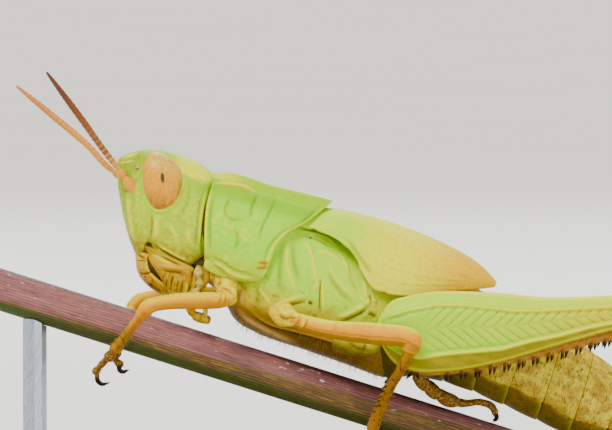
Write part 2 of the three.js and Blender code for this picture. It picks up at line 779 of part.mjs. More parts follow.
function walkingLeg(pair, side, points) {
  const sizes = LEG_SIZES[pair];
  const name = (piece) => `${pair}leg_${side}_${piece}`;
  const piece = (key, options) => limb(mirrored(points[key], side), sizes[key], options);
  const foot = { sides: 5, rings: 2, across: pair === "mid" ? ALONG : ACROSS };
  const hooks = claws(...points.claws, side, foot.across);
  addPiece(name("coxa"), piece("coxa", { sides: 6, rings: 2 }), FINISH.legTan, LEG_MEETS[pair]);
  addPiece(name("femur"), piece("femur", { sides: 6 }), FINISH.legTan, [name("coxa"), ...LEG_MEETS[pair]]);
  addPiece(name("tibia"), piece("tibia", { sides: 6 }), FINISH.legTan, [name("femur"), "perch_stem"]);
  addPiece(name("tarsus"), joined([piece("tarsus", foot), ...hooks]), FINISH.shinBrown, [
    name("tibia"),
    "perch_stem",
  ]);
}

for (const side of ["left", "right"]) {
  walkingLeg("fore", side, FORE[side]);
  walkingLeg("mid", side, MID[side]);
}

// The jumping leg's thigh, along its own line from root to knee: distance along, then the height of
// its crest, upper ridge, lower ridge and keel, and half its thickness.
const THIGH = table([
  [0, 0.02, -0.08, -0.5, -0.62, 0.2],
  [0.5, 0.7, 0.35, -1.15, -1.5, 0.42],
  [1.3, 0.97, 0.5, -1.42, -1.98, 0.55],
  [2.6, 1.08, 0.6, -1.38, -2.1, 0.62],
  [4.7, 0.87, 0.35, -1.3, -1.88, 0.6],
  [7, 0.52, 0.1, -0.95, -1.38, 0.52],
  [9.4, 0.43, 0.07, -0.6, -0.88, 0.44],
  [11.5, 0.42, 0.1, -0.33, -0.58, 0.38],
  [12.6, 0.5, 0.15, -0.38, -0.66, 0.4],
  [13.3, 0.4, 0.1, -0.34, -0.58, 0.36],
  [13.7, 0.18, 0.02, -0.2, -0.32, 0.2],
]);
const THIGH_PLACES = [0, 0.35, 1, 1.8, 2.8, 4.6, 6.8, 9.2, 11.4, 12.6, 13.3, 13.7];
const THIGH_LENGTH = 13.6;
const THIGH_ROOT_Y = 2.68;
const THIGH_KNEE_Y = 3.3;
const KEEL_HALF = 0.36;
const SHIN_INSET = 0.25; // how far the folded shin lies to the inner side of the thigh
const SHIN = [
  [13.35, -0.45],
  [12.9, -0.84],
  [12, -0.88],
  [9.2, -1.0],
  [6.9, -1.42],
  [4.6, -1.8],
  [2.65, -2.0],
  [1.35, -1.93],
];
const SHIN_SIZES = [[0, 0.27, 0.28], [0.1, 0.26, 0.26], [1, 0.26, 0.25]];
const SPINE_ROWS = { outer: 2.7, inner: 2.9 }; // where each row of spines starts along the thigh
const SPINES = 13;
const SPINE = { pitch: 0.58, length: 0.42, radius: 0.08, lean: 0.16, root: 0.12, tip: 0.26, sunk: 0.14 };
const SPUR = { reach: 0.5, drop: 0.42, radius: 0.1, root: 0.2, tip: 0.32 };
const HIND_COXA = [[1.9, 1.5, -1.15], [2.6, 1.8, -1.05], [3.1, 2.0, -0.95]];
const HIND_COXA_SIZES = [[0, 0.46, 0.48], [0.5, 0.44, 0.48], [1, 0.34, 0.36]];
const HIND_FOOT = [
  [5.2, 2.22, -1.64],
  [5.85, 1.5, -1.96],
  [6.6, 0.8, -2.16],
  [7.4, 0.52, -2.2],
  [8.0, 0.46, -2.06],
  [8.5, 0.42, -2.08],
];
const HIND_FOOT_SIZES = [[0, 0.25, 0.25], [0.5, 0.26, 0.26], [0.75, 0.25, 0.22], [1, 0.24, 0.19]];
const HIND_CLAWS = [[8.5, 0.42, -2.1], [8.8, 0.42, -2.44]];

// Carries (along, up, out) in the thigh's own frame to the body's.
function thighFrame(side) {
  const rise = THREE.MathUtils.degToRad(THIGH_RISE[side]);
  const root = THIGH_ROOT[side];
  return (along, up, out) =>
    at(
      root.x + along * Math.cos(rise) - up * Math.sin(rise),
      SIDES[side] * (mix(THIGH_ROOT_Y, THIGH_KNEE_Y, along / THIGH_LENGTH) + out),
      root.z + along * Math.sin(rise) + up * Math.cos(rise),
    );
}

function thigh(side) {
  const place = thighFrame(side);
  return loft(
    THIGH_PLACES.map((along) => {
      const [crest, upper, lower, keel, half] = THIGH(along);
      const keelHalf = Math.min(KEEL_HALF, half * 0.8);
      const outline = [
        [0, crest],
        [half * 0.5, mix(crest, upper, 0.25)],
        [half, upper],
        [half, lower],
        [keelHalf, mix(keel, lower, 0.05)],
        [0, keel],
      ];
      return smoothRing(outline, 1, (out, up) => place(along, up, out));
    }),
  );
}

// The folded shin's middle line along the thigh, below the bend at the knee.
const shinHeight = edge([...SHIN].reverse().filter(([place]) => place < 13));

function shin(side) {
  const place = thighFrame(side);
  const path = SHIN.map(([along, up]) => place(along, up, -SHIN_INSET));
  const spines = Object.entries(SPINE_ROWS).flatMap(([row, start]) =>
    steps(SPINES - 1).map((t) => {
      const hand = row === "outer" ? 1 : -1;
      const along = start + t * (SPINES - 1) * SPINE.pitch;
      const height = shinHeight(along) - SPINE.sunk;
      const root = place(along, height, hand * SPINE.root - SHIN_INSET);
      const tip = place(along - SPINE.lean, height - SPINE.length, hand * SPINE.tip - SHIN_INSET);
      return spike(root, tip, SPINE.radius);
    }),
  );
  const [endAlong, endUp] = SHIN.at(-1);
  const spurs = [-1, 1].map((hand) => {
    const root = place(endAlong, endUp, hand * SPUR.root - SHIN_INSET);
    const tip = place(endAlong - SPUR.reach, endUp - SPUR.drop, hand * SPUR.tip - SHIN_INSET);
    return spike(root, tip, SPUR.radius);
  });
  return joined([limb(path, SHIN_SIZES, { sides: 6, rings: 9 }), ...spines, ...spurs]);
}

function hindLeg(side) {
  const name = (piece) => `hindleg_${side}_${piece}`;
  const hip = limb(mirrored(HIND_COXA, side), HIND_COXA_SIZES, { rings: 2 });
  const foot = limb(mirrored(HIND_FOOT, side), HIND_FOOT_SIZES, { sides: 6, rings: 5 });
  addPiece(name("coxa"), hip, FINISH.bellyOlive, ["metathorax", "abdomen_1"]);
  addPiece(name("tibia"), shin(side), FINISH.shinBrown, [name("coxa")]);
  addPiece(name("femur"), thigh(side), FINISH.thighGreen, [
    name("coxa"),
    name("tibia"),
    `midleg_${side}_femur`,
    `midleg_${side}_tibia`,
    `wing_${side}`,
    "metathorax",
    "abdomen_1",
  ]);
  addPiece(name("tarsus"), joined([foot, ...claws(...HIND_CLAWS, side)]), FINISH.shinBrown, [
    name("tibia"),
    name("femur"),
    "perch_stem",
    "abdomen_2",
    "abdomen_3",
  ]);
}

hindLeg("left");
hindLeg("right");

export default grasshopper;
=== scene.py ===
import math
import random
import bpy
import numpy as np
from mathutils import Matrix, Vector


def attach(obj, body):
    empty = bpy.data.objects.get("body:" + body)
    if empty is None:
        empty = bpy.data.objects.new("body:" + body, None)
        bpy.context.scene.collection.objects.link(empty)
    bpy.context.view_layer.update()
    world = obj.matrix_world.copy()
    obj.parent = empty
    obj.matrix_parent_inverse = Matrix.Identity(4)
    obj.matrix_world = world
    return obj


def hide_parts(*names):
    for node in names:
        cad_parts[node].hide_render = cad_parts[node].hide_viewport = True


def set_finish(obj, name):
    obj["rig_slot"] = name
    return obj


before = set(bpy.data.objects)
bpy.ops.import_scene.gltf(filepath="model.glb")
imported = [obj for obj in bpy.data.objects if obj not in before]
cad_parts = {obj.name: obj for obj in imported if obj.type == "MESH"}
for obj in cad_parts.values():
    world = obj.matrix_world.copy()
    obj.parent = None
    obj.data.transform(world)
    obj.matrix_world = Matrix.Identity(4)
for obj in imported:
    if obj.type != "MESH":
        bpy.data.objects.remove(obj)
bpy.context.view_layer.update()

# ---- where things are ----
# Pieces are laid out in the animal's own frame, in millimetres: s from head to tail along the stem,
# y out from the middle, h up from the stem's line. toWorld turns that into the model's frame in metres.
layout = {
    "slope": math.radians(17.5),  # how far the stem drops towards the tail
    "shiftX": -1.7,
    "lift": 12.6,
}
slopeCos = math.cos(layout["slope"])
slopeSin = math.sin(layout["slope"])
sides = {"left": -1, "right": 1}


def toWorld(points):
    p = np.asarray(points, dtype=float).reshape(-1, 3)
    x = p[:, 0] * slopeCos + p[:, 2] * slopeSin + layout["shiftX"]
    z = -p[:, 0] * slopeSin + p[:, 2] * slopeCos + layout["lift"]
    return np.stack([x, p[:, 1], z], axis=1) / 1000


def toBody(points):
    p = np.asarray(points, dtype=float).reshape(-1, 3) * 1000
    x = p[:, 0] - layout["shiftX"]
    z = p[:, 2] - layout["lift"]
    return np.stack([x * slopeCos - z * slopeSin, p[:, 1], x * slopeSin + z * slopeCos], axis=1)


# ---- shaping helpers ----
def deselectAll():
    if bpy.context.mode != "OBJECT":
        bpy.ops.object.mode_set(mode="OBJECT")
    bpy.ops.object.select_all(action="DESELECT")


def only(obj):
    deselectAll()
    obj.select_set(True)
    bpy.context.view_layer.objects.active = obj


# Reads rows of [place, value, ...] at any place between them, smoothly.
def table(rows):
    places = np.array([row[0] for row in rows], dtype=float)
    values = np.array([row[1:] for row in rows], dtype=float)

    def read(where):
        where = np.clip(np.atleast_1d(np.asarray(where, dtype=float)), places[0], places[-1])
        i = np.clip(np.searchsorted(places, where, side="right"), 1, len(places) - 1)
        t0, t1 = places[i - 1], places[i]
        first, last = i == 1, i == len(places) - 1
        before = np.where(first, i, i - 2)
        after = np.where(last, i - 1, np.minimum(i + 1, len(places) - 1))
        half = (t1 - t0) / 2
        wp = (half / (t0 - np.where(first, t1, places[before])))[:, None]
        wn = (half / (np.where(last, t0, places[after]) - t1))[:, None]
        p = ((where - t0) / (t1 - t0))[:, None]
        return (
            (-wp * p**3 + 2 * wp * p**2 - wp * p) * values[before]
            + ((1 + wp) * p**3 + (-1.5 - 2 * wp) * p**2 + (-0.5 + wp) * p + 1) * values[i - 1]
            + ((-1 - wn) * p**3 + (1.5 + wn) * p**2 + 0.5 * p) * values[i]
            + (wn * p**3 - wn * p**2) * values[after]
        )

    return read


def mix(a, b, t):
    return a + (b - a) * t


def ease(a, b, x):
    t = np.clip((x - a) / (b - a), 0, 1)
    return t * t * (3 - 2 * t)


# Points along a smooth curve through the given points, evenly spaced, with their directions.
def curveThrough(points, count, closed=False, even=True):
    p = np.asarray(points, dtype=float)
    if closed:
        p = np.concatenate([p[-1:], p, p[:2]])
    else:
        p = np.concatenate([2 * p[:1] - p[1:2], p, 2 * p[-1:] - p[-2:-1]])
    pieces = []
    fine = 24 if even else max(1, count // (len(p) - 3))
    for i in range(1, len(p) - 2):
        q0, q1, q2, q3 = p[i - 1], p[i], p[i + 1], p[i + 2]
        d0, d1, d2 = (max(np.linalg.norm(b - a), 1e-9) ** 0.5 for a, b in ((q0, q1), (q1, q2), (q2, q3)))
        m1 = ((q1 - q0) / d0 - (q2 - q0) / (d0 + d1) + (q2 - q1) / d1) * d1
        m2 = ((q2 - q1) / d1 - (q3 - q1) / (d1 + d2) + (q3 - q2) / d2) * d1
        t = (np.arange(fine) / fine)[:, None]
        a, b = 2 * q1 - 2 * q2 + m1 + m2, -3 * q1 + 3 * q2 - 2 * m1 - m2
        pieces.append(a * t**3 + b * t**2 + m1 * t + q1)
    line = np.concatenate(pieces + ([] if closed else [p[-2:-1]]))
    if not even:
        return line
    run = np.concatenate([line, line[:1]]) if closed else line
    far = np.concatenate([[0], np.cumsum(np.linalg.norm(np.diff(run, axis=0), axis=1))])
    where = np.linspace(0, far[-1], count, endpoint=not closed)
    return np.stack([np.interp(where, far, run[:, k]) for k in range(run.shape[1])], axis=1)


# A skin over rows of points, closed round each row. It starts as a flat grid that is wrapped on.
def shell(name, rows, closed=True, fill=True):
    rows = np.asarray(rows, dtype=float)
    if closed:
        rows = np.concatenate([rows, rows[:, :1]], axis=1)
    high, wide = rows.shape[:2]
    deselectAll()
    bpy.ops.mesh.primitive_grid_add(x_subdivisions=wide - 1, y_subdivisions=high - 1, size=0.01)
    obj = bpy.context.object
    obj.name = name
    obj.data.vertices.foreach_set("co", toWorld(rows.reshape(-1, 3)).ravel())
    obj.data.update()
    bpy.ops.object.mode_set(mode="EDIT")
    bpy.ops.mesh.select_all(action="SELECT")
    bpy.ops.mesh.remove_doubles(threshold=2e-7)
    if fill:
        bpy.ops.mesh.fill_holes(sides=0)
    bpy.ops.mesh.select_all(action="SELECT")
    bpy.ops.mesh.normals_make_consistent(inside=False)
    bpy.ops.object.mode_set(mode="OBJECT")
    while obj.data.uv_layers:
        obj.data.uv_layers.remove(obj.data.uv_layers[0])
    obj.data.shade_smooth()
    return obj


def bodyPoints(obj):
    co = np.empty(len(obj.data.vertices) * 3)
    obj.data.vertices.foreach_get("co", co)
    return toBody(co)


def bodyNormals(obj):
    n = np.empty(len(obj.data.vertices) * 3)
    obj.data.vertex_normals.foreach_get("vector", n)
    n = n.reshape(-1, 3)
    return np.stack([n[:, 0] * slopeCos - n[:, 2] * slopeSin, n[:, 1], n[:, 0] * slopeSin + n[:, 2] * slopeCos], axis=1)


def setPoints(obj, points):
    obj.data.vertices.foreach_set("co", toWorld(points).ravel())
    obj.data.update()


# Moves the skin in or out along its normals by millimetres.
def carve(obj, amount):
    setPoints(obj, bodyPoints(obj) + bodyNormals(obj) * np.asarray(amount)[:, None])


def mark(obj, name, values):
    layer = obj.data.attributes.get(name) or obj.data.attributes.new(name, "FLOAT", "POINT")
    layer.data.foreach_set("value", np.asarray(values, dtype=np.float32))


def readMark(obj, name):
    values = np.zeros(len(obj.data.vertices), dtype=np.float32)
    if name in obj.data.attributes:
        obj.data.attributes[name].data.foreach_get("value", values)
    return values


# How near flat points are to a line through the given points: 1 on it, falling to 0 within a width.
def nearLine(flat, line, width, soft=0.3):
    line = curveThrough(line, 30) if len(line) > 2 else np.asarray(line, dtype=float)
    close = np.all((flat > line.min(axis=0) - 3 * width) & (flat < line.max(axis=0) + 3 * width), axis=1)
    some = flat[close]
    best, part = np.full(len(some), 1e9), np.zeros(len(some))
    for k, (a, b) in enumerate(zip(line[:-1], line[1:])):
        run = b - a
        t = np.clip(((some - a) @ run) / max(run @ run, 1e-12), 0, 1)
        far = np.linalg.norm(some - (a + t[:, None] * run), axis=1)
        part = np.where(far < best, (k + t) / (len(line) - 1), part)
        best = np.minimum(best, far)
    near = np.zeros(len(flat))
    taper = 1 if np.allclose(line[0], line[-1]) else ease(-0.06, soft, part) * ease(-0.06, soft, 1 - part)
    near[close] = np.exp(-((best / width) ** 2)) * taper
    return near


# Rounded sections along a smooth path. Rows of sizes are [share of the way, half width, half depth].
def limbRows(path, sizes, rings, around, across=(0, 1, 0), rounding=(5, 5), shape=None):
    line = curveThrough(path, rings)
    run = np.gradient(line, axis=0)
    run /= np.linalg.norm(run, axis=1)[:, None]
    across = np.asarray(across, dtype=float)
    reader = table(sizes)
    turns = np.linspace(0, 2 * math.pi, around, endpoint=False)
    rows = []

    def section(i, beyond, scale):
        wide = across - run[i] * (across @ run[i])
        wide /= np.linalg.norm(wide)
        deep = np.cross(run[i], wide)
        t = i / (rings - 1)
        halfWide, halfDeep = reader(t)[0]
        bulge = shape(t, turns) if shape else np.ones(around)
        middle = line[i] + run[i] * beyond * min(halfWide, halfDeep)
        rows.append(
            middle
            + np.outer(np.cos(turns) * bulge * halfDeep * scale, deep)
            + np.outer(np.sin(turns) * bulge * halfWide * scale, wide)
        )

    for a in np.linspace(math.pi / 2, 0, rounding[0], endpoint=False):
        section(0, -math.sin(a), math.cos(a))
    for i in range(rings):
        section(i, 0, 1)
    for a in np.linspace(0, math.pi / 2, rounding[1] + 1)[1:]:
        section(rings - 1, math.sin(a), math.cos(a))
    return np.array(rows)


def mirrored(points, side):
    return [[x, y * sides[side], z] for x, y, z in points]


# A thin spike from root to tip, six-sided, as rows for shell.
def spikeObject(name, root, tip, radius, around=6, bend=(0, 0, 0)):
    root, tip = np.asarray(root, dtype=float), np.asarray(tip, dtype=float)
    middle = (root + tip) / 2 + np.asarray(bend)
    sizes = [[0, radius, radius], [0.5, radius * 0.72, radius * 0.72], [1, radius * 0.12, radius * 0.12]]
    run = tip - root
    across = (0, 1, 0) if abs(run[1]) < 0.8 * np.linalg.norm(run) else (1, 0, 0)
    return shell(name, limbRows([root, middle, tip], sizes, 5, around, across, (1, 1)))


def darkSpike(root, tip, radius):
    obj = spikeObject("spike", root, tip, radius)
    far = np.linalg.norm(bodyPoints(obj) - root, axis=1) / np.linalg.norm(np.subtract(tip, root))
    mark(obj, "black", ease(0.15, 0.4, far))
    return obj


# Marks a limb's upper and lower sides, and leaves how far along it each point is.
def markLimb(obj, path, mottledFrom=2.0):
    at = bodyPoints(obj)
    line = curveThrough(path, 80)
    nearest = np.linalg.norm(at[:, None] - line[None], axis=2).argmin(axis=1)
    up = bodyNormals(obj)[:, 2]
    mark(obj, "upper", ease(0.1, 0.8, up))
    mark(obj, "lower", ease(-0.1, -0.8, up))
    mark(obj, "turn", up)
    mark(obj, "mottled", ease(mottledFrom - 0.25, mottledFrom + 0.25, nearest / 79))
    return nearest / 79


# Several objects made one mesh, which keeps the first one's name.
def joinAll(objects, name):
    deselectAll()
    for obj in objects:
        obj.select_set(True)
    bpy.context.view_layer.objects.active = objects[0]
    if len(objects) > 1:
        bpy.ops.object.join()
    obj = bpy.context.object
    obj.name = name
    obj.data.name = name
    return obj


dressed = []
coreObjects = []


# A finished piece stands for its CAD nodes and rides with the model.
def dress(obj, nodes, slot):
    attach(obj, "root")
    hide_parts(*nodes)
    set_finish(obj, slot)
    dressed.append(obj)
    return obj


def power(value, exponent):
    return np.sign(value) * np.abs(value) ** exponent


def levelRing(front, widest, rear, near, far, z, frontSquare, rearSquare, around):
    turns = np.linspace(0, 2 * math.pi, around, endpoint=False)
    c, s = np.cos(turns), np.sin(turns)
    exponent = np.where(c > 0, 2 / frontSquare, 2 / rearSquare)
    reach = np.where(c > 0, widest - front, rear - widest)
    y = (near + far) / 2 + power(s, exponent) * (far - near) / 2
    return np.stack([widest - power(c, exponent) * reach, y, np.full(around, z)], axis=1)

# ---- colour and shader helpers ----
# The view transform pales bright colours, so a colour is written as it should look and worked back from there.
screen = {"gather": 0.33, "spread": 0.35, "turn": 0.065, "slope": 0.74, "lift": 2.09, "weights": (0.21, 0.49, 0.3), "light": (1.5, 1.45, 1.25), "rich": 0.955}


def asShown(scene):
    weights = np.array(screen["weights"])
    eased = scene + (scene @ weights - scene) * screen["gather"]
    curve = (eased ** screen["slope"] / (eased ** screen["slope"] + screen["turn"] ** screen["slope"])) ** screen["lift"]
    return curve + (curve - curve @ weights) * screen["spread"]


def paint(red, green, blue):
    wanted = np.array([red, green, blue]) / 255 * screen["rich"]
    guess = wanted ** 2.2
    for _ in range(60):
        seen = np.clip(asShown(guess * np.array(screen["light"])), 0, 1)
        guess = np.clip(guess * ((wanted + 0.03) / (seen + 0.03)) ** 1.3, 0.001, 0.8)
    return (*map(float, guess), 1.0)


class Wire:
    def __init__(self, look, socket):
        self.look, self.socket = look, socket

    def __add__(self, other):
        return self.look.math("ADD", self, other)

    def __radd__(self, other):
        return self.look.math("ADD", other, self)

    def __sub__(self, other):
        return self.look.math("SUBTRACT", self, other)

    def __rsub__(self, other):
        return self.look.math("SUBTRACT", other, self)

    def __mul__(self, other):
        return self.look.math("MULTIPLY", self, other)

    def __rmul__(self, other):
        return self.look.math("MULTIPLY", other, self)


class Look:
    def __init__(self, name, **shader):
        self.material = bpy.data.materials.new(name)
        self.material.use_nodes = True
        self.tree = self.material.node_tree
        self.shader = self.tree.nodes["Principled BSDF"]
        for key, value in shader.items():
            self.shader.inputs[key.replace("_", " ")].default_value = value
        place = self.node("ShaderNodeTexCoord", output=3)
        tilt = layout["slope"]
        shift = (-layout["shiftX"] * slopeCos + layout["lift"] * slopeSin, 0, -layout["shiftX"] * slopeSin - layout["lift"] * slopeCos)
        self.place = self.node("ShaderNodeMapping", {"vector_type": "POINT"}, {0: place, 1: shift, 2: (0, -tilt, 0), 3: (1000, 1000, 1000)})
        self.s, self.y, self.h = (self.node("ShaderNodeSeparateXYZ", inputs={0: self.place}, output=k) for k in range(3))

    def node(self, kind, settings={}, inputs={}, output=0):
        made = self.tree.nodes.new(kind)
        for key, value in settings.items():
            setattr(made, key, value)
        for key, value in inputs.items():
            self.feed(made.inputs[key], value)
        return Wire(self, made.outputs[output])

    def feed(self, socket, value):
        if isinstance(value, Wire):
            self.tree.links.new(value.socket, socket)
        else:
            socket.default_value = value

    def math(self, kind, *values):
        return self.node("ShaderNodeMath", {"operation": kind}, dict(enumerate(values)))

    # How far a value has gone from low to high, from 0 to 1. It runs backwards where low is the higher.
    def step(self, low, high, value):
        return self.node("ShaderNodeMapRange", {"interpolation_type": "SMOOTHSTEP"}, {0: value, 1: low, 2: high})

    def blend(self, amount, under, over, way="MIX"):
        return self.node("ShaderNodeMix", {"data_type": "RGBA", "blend_type": way}, {0: amount, 6: under, 7: over}, 2)

    def noise(self, scale, detail=3.0, rough=0.55, stretch=(1, 1, 1), twist=0.0):
        where = self.place if stretch == (1, 1, 1) else self.node("ShaderNodeMapping", inputs={0: self.place, 3: stretch})
        return self.node("ShaderNodeTexNoise", inputs={"Vector": where, "Scale": scale, "Detail": detail, "Roughness": rough, "Distortion": twist})

    def cells(self, scale, stretch=(1, 1, 1), feature="F1"):
        where = self.place if stretch == (1, 1, 1) else self.node("ShaderNodeMapping", inputs={0: self.place, 3: stretch})
        return self.node("ShaderNodeTexVoronoi", {"feature": feature}, {"Vector": where, "Scale": scale})

    def mark(self, name):
        return self.node("ShaderNodeAttribute", {"attribute_name": name}, output=2)

    # Lays colours over one another, each as [mask, colour].
    def layers(self, color, *over):
        for mask, top in over:
            color = self.blend(mask, color, top)
        return color

    def finish(self, color, rough=0.45, height=None, depth=0.02):
        self.feed(self.shader.inputs["Base Color"], color)
        self.feed(self.shader.inputs["Roughness"], rough)
        if height is not None:
            self.feed(self.shader.inputs["Normal"], self.node("ShaderNodeBump", inputs={"Strength": 1.0, "Distance": depth / 1000, "Height": height}))
        return self.material


def wear(obj, material):
    obj.data.materials.clear()
    obj.data.materials.append(material)


# Ridges and grooves on a piece, each as [tint, rise, width, line], the line as it runs seen from the side.
def engrave(obj, strokes, place=None, facing=(0.1, 0.45)):
    flat = place if place is not None else bodyPoints(obj)[:, [0, 2]]
    turned = ease(*facing, np.abs(bodyNormals(obj)[:, 1])) if facing else 1.0
    lift, tints = np.zeros(len(flat)), {}
    for tint, rise, width, line in strokes:
        near = nearLine(flat, line, width) * turned
        lift += near * rise
        # Grooves with no tint of their own are marked for painted shade, darkened later in the skin's colour.
        tint = tint or ("grooveShade" if rise < 0 else "")
        if tint:
            tints[tint] = np.maximum(tints.get(tint, 0), near)
    carve(obj, lift)
    for tint, near in tints.items():
        mark(obj, tint, near)


# ---- camera, floor and light ----
view = {
    "target": (-0.0017, -0.0015, 0.0160),
    "distance": 0.35,
    "elevation": math.radians(2),
    "lens": 514.7,
}


def placeCamera():
    t = Vector(view["target"])
    back = Vector((0, -math.cos(view["elevation"]), math.sin(view["elevation"])))
    bpy.ops.object.camera_add(location=t + back * view["distance"])
    cam = bpy.context.object
    cam.rotation_euler = (-back).to_track_quat("-Z", "Y").to_euler()
    cam.data.sensor_width = 36
    cam.data.lens = view["lens"]
    cam.data.clip_start = 0.01
    cam.data.clip_end = 50
    bpy.context.scene.camera = cam


placeCamera()

studio = {
    "floorHalf": 5.0,
    "world": (1.0, 0.97, 0.86),
    "worldStrength": 0.7,
    "sun": {"towards": (0.42, 0.62, -0.95), "strength": 3.4, "softness": 28, "color": (1.0, 0.95, 0.82)},
    "lamps": {  # place, size across and watts
        "fillLight": ((0.30, -0.30, 0.12), 0.30, 0.5),
        "rimLight": ((0.02, 0.34, 0.30), 0.26, 1.2),
    },
}


def aim(towards):
    return Vector(towards).to_track_quat("-Z", "Y").to_euler()


deselectAll()
bpy.ops.mesh.primitive_plane_add(size=studio["floorHalf"] * 2, location=(0, 0, 0))
floor = bpy.context.object
floor.name = "floor"
bpy.ops.object.light_add(type="SUN", location=(-0.4, -0.5, 0.8), rotation=aim(studio["sun"]["towards"]))
bpy.context.object.data.energy = studio["sun"]["strength"]
bpy.context.object.data.angle = math.radians(studio["sun"]["softness"])
bpy.context.object.data.color = studio["sun"]["color"]
for name, (place, across, watts) in studio["lamps"].items():
    bpy.ops.object.light_add(type="AREA", location=place, rotation=aim(Vector((0, 0, 0.014)) - Vector(place)))
    lamp = bpy.context.object
    lamp.name = name
    lamp.data.shape = "DISK"
    lamp.data.size = across
    lamp.data.energy = watts
world = bpy.data.worlds.new("studio")
bpy.context.scene.world = world
world.use_nodes = True
world.node_tree.nodes["Background"].inputs[0].default_value = (*studio["world"], 1)
world.node_tree.nodes["Background"].inputs[1].default_value = studio["worldStrength"]
print("stage set")

# ---- head ----
# Levels from the mouth to the crown: share of the way, height, front, widest, rear, half width, squareness.
headLevels = table([
    [0, -0.15, -7.12, -5.8, -4.78, 1.32, 2.6],
    [0.12, 0.4, -7.6, -5.75, -4.4, 1.58, 2.6],
    [0.32, 1.4, -8.2, -5.8, -4.5, 1.72, 2.5],
    [0.5, 2.3, -8.64, -5.95, -4.74, 1.62, 2.1],
    [0.64, 3.05, -8.87, -6.1, -4.84, 1.42, 1.75],
    [0.74, 3.5, -8.42, -6.15, -4.9, 1.12, 1.8],
    [0.84, 3.82, -7.75, -6.4, -5.5, 0.72, 2],
    [0.91, 3.95, -7.2, -6.55, -5.98, 0.4, 2],
    [1, 3.985, -6.62, -6.6, -6.58, 0.01, 2],
])
head = {"around": 260, "levels": 180, "hingeX": -6.7, "hingeZ": 0.14, "cheekSlope": -0.17, "browFoot": -0.3}


def headRows():
    rows = []
    for t in np.linspace(0, 1, head["levels"]):
        z, front, widest, rear, half, square = headLevels(t)[0]
        ring = levelRing(front, widest, rear, -half, half, z, square, 3.4, head["around"])
        cheek = head["hingeZ"] + (ring[:, 0] - head["hingeX"]) * head["cheekSlope"]
        foot = mix(head["browFoot"], cheek, ease(head["hingeX"] - 0.16, head["hingeX"] + 0.02, ring[:, 0]))
        ring[:, 2] += (foot + 0.15) * (1 - ease(-0.15, 0.9, np.full(len(ring), z)))
        rows.append(ring)
    return rows


eyeRim = [(-7.93, 3.42), (-7.82, 3.0), (-7.66, 2.58), (-7.4, 2.04), (-7.07, 1.68), (-6.8, 1.57), (-6.4, 1.73), (-6.12, 2.15),
          (-5.99, 2.7), (-5.99, 3.12), (-6.2, 3.46), (-6.58, 3.73), (-7.0, 3.9), (-7.35, 3.9), (-7.93, 3.42)]
headStrokes = [
    ["", 0.05, 0.07, eyeRim],
    ["ochre", 0.01, 0.05, [(-6.52, 1.72), (-6.16, 2.15), (-6.03, 2.7), (-6.04, 3.12), (-6.3, 3.46)]],
    ["gold", 0.05, 0.08, [(-6.35, 3.42), (-6.1, 3.34), (-5.9, 3.33), (-5.5, 3.38), (-5.2, 3.3), (-5.0, 3.22)]],
    ["cream", 0.05, 0.06, [(-8.75, 3.1), (-8.45, 3.35), (-8.15, 3.55)]],
    ["cream", 0.04, 0.04, [(-8.78, 2.92), (-8.5, 3.08), (-8.22, 3.22)]],
    ["lime", 0.03, 0.1, [(-6.75, 1.45), (-6.55, 0.9), (-6.5, 0.42)]],
    ["brown", -0.03, 0.035, [(-6.93, 1.5), (-6.75, 0.9), (-6.68, 0.45)]],
    ["gold", 0.05, 0.05, [(-6.45, 0.36), (-6.0, 0.25), (-5.5, 0.14), (-4.85, 0.04)]],
    ["brown", -0.04, 0.035, [(-6.45, 0.25), (-6.0, 0.13), (-5.5, 0.02), (-4.8, -0.08)]],
    ["gold", 0.05, 0.05, [(-6.45, 0.15), (-6.0, 0.03), (-5.5, -0.07), (-4.8, -0.17)]],
    ["dark", -0.07, 0.08, [(-6.82, 0.21), (-6.52, 0.2)]],
    ["lime", 0.05, 0.07, [(-8.12, 1.95), (-7.85, 1.3), (-7.5, 0.6), (-7.15, 0.05)]],
    ["lime", 0.015, 0.1, [(-5.35, 1.4), (-5.25, 1.05), (-5.1, 0.75)]],
    ["lime", 0.02, 0.06, [(-6.2, 1.3), (-5.8, 0.95), (-5.5, 0.55)]],
    ["lime", 0.04, 0.06, [(-5.12, 3.1), (-5.08, 2.4), (-5.0, 1.9), (-4.9, 1.4), (-4.78, 0.9), (-4.68, 0.5)]],
    ["brown", -0.03, 0.035, [(-5.01, 3.2), (-4.97, 2.4), (-4.9, 1.9), (-4.79, 1.4), (-4.67, 0.9), (-4.5, 0.4)]],
    ["", -0.03, 0.05, [(-5.2, 3.1), (-5.18, 2.4), (-5.1, 1.9), (-5.0, 1.4), (-4.87, 0.9), (-4.78, 0.5)]],
    ["", -0.03, 0.05, [(-5.85, 3.1), (-5.7, 2.5), (-5.75, 1.9), (-6.0, 1.3)]],
    ["brown", -0.05, 0.07, [(-8.35, 2.6), (-8.15, 2.1), (-8.3, 1.9)]],
]
# Ridges down the face, as they run seen from the front: y and height.
faceStrokes = [
    ["lime", 0.05, 0.06, [(hand * 0.2, 3.35), (hand * 0.27, 2.6), (hand * 0.24, 1.8), (hand * 0.34, 0.9), (hand * 0.42, 0.0)]] for hand in (-1, 1)
] + [["", -0.06, 0.16, [(0, 3.1), (0, 2.2), (0, 1.2), (0, 0.3)]], ["dark", -0.06, 0.07, [(0, 2.05), (0, 1.95)]]]


def makeHead():
    obj = shell("headShell", headRows())
    engrave(obj, headStrokes)
    flat, facing = bodyPoints(obj)[:, 1:], ease(0.45, 0.75, -bodyNormals(obj)[:, 0])
    lift = sum(nearLine(flat, line, width) * rise for _, rise, width, line in faceStrokes)
    carve(obj, lift * facing)
    for tint in ("lime", "dark"):
        near = np.max([nearLine(flat, line, width) for kind, _, width, line in faceStrokes if kind == tint], axis=0) * facing
        mark(obj, tint, np.maximum(near, readMark(obj, tint)))
    return dress(obj, ["head"], "head_green")


headShell = makeHead()

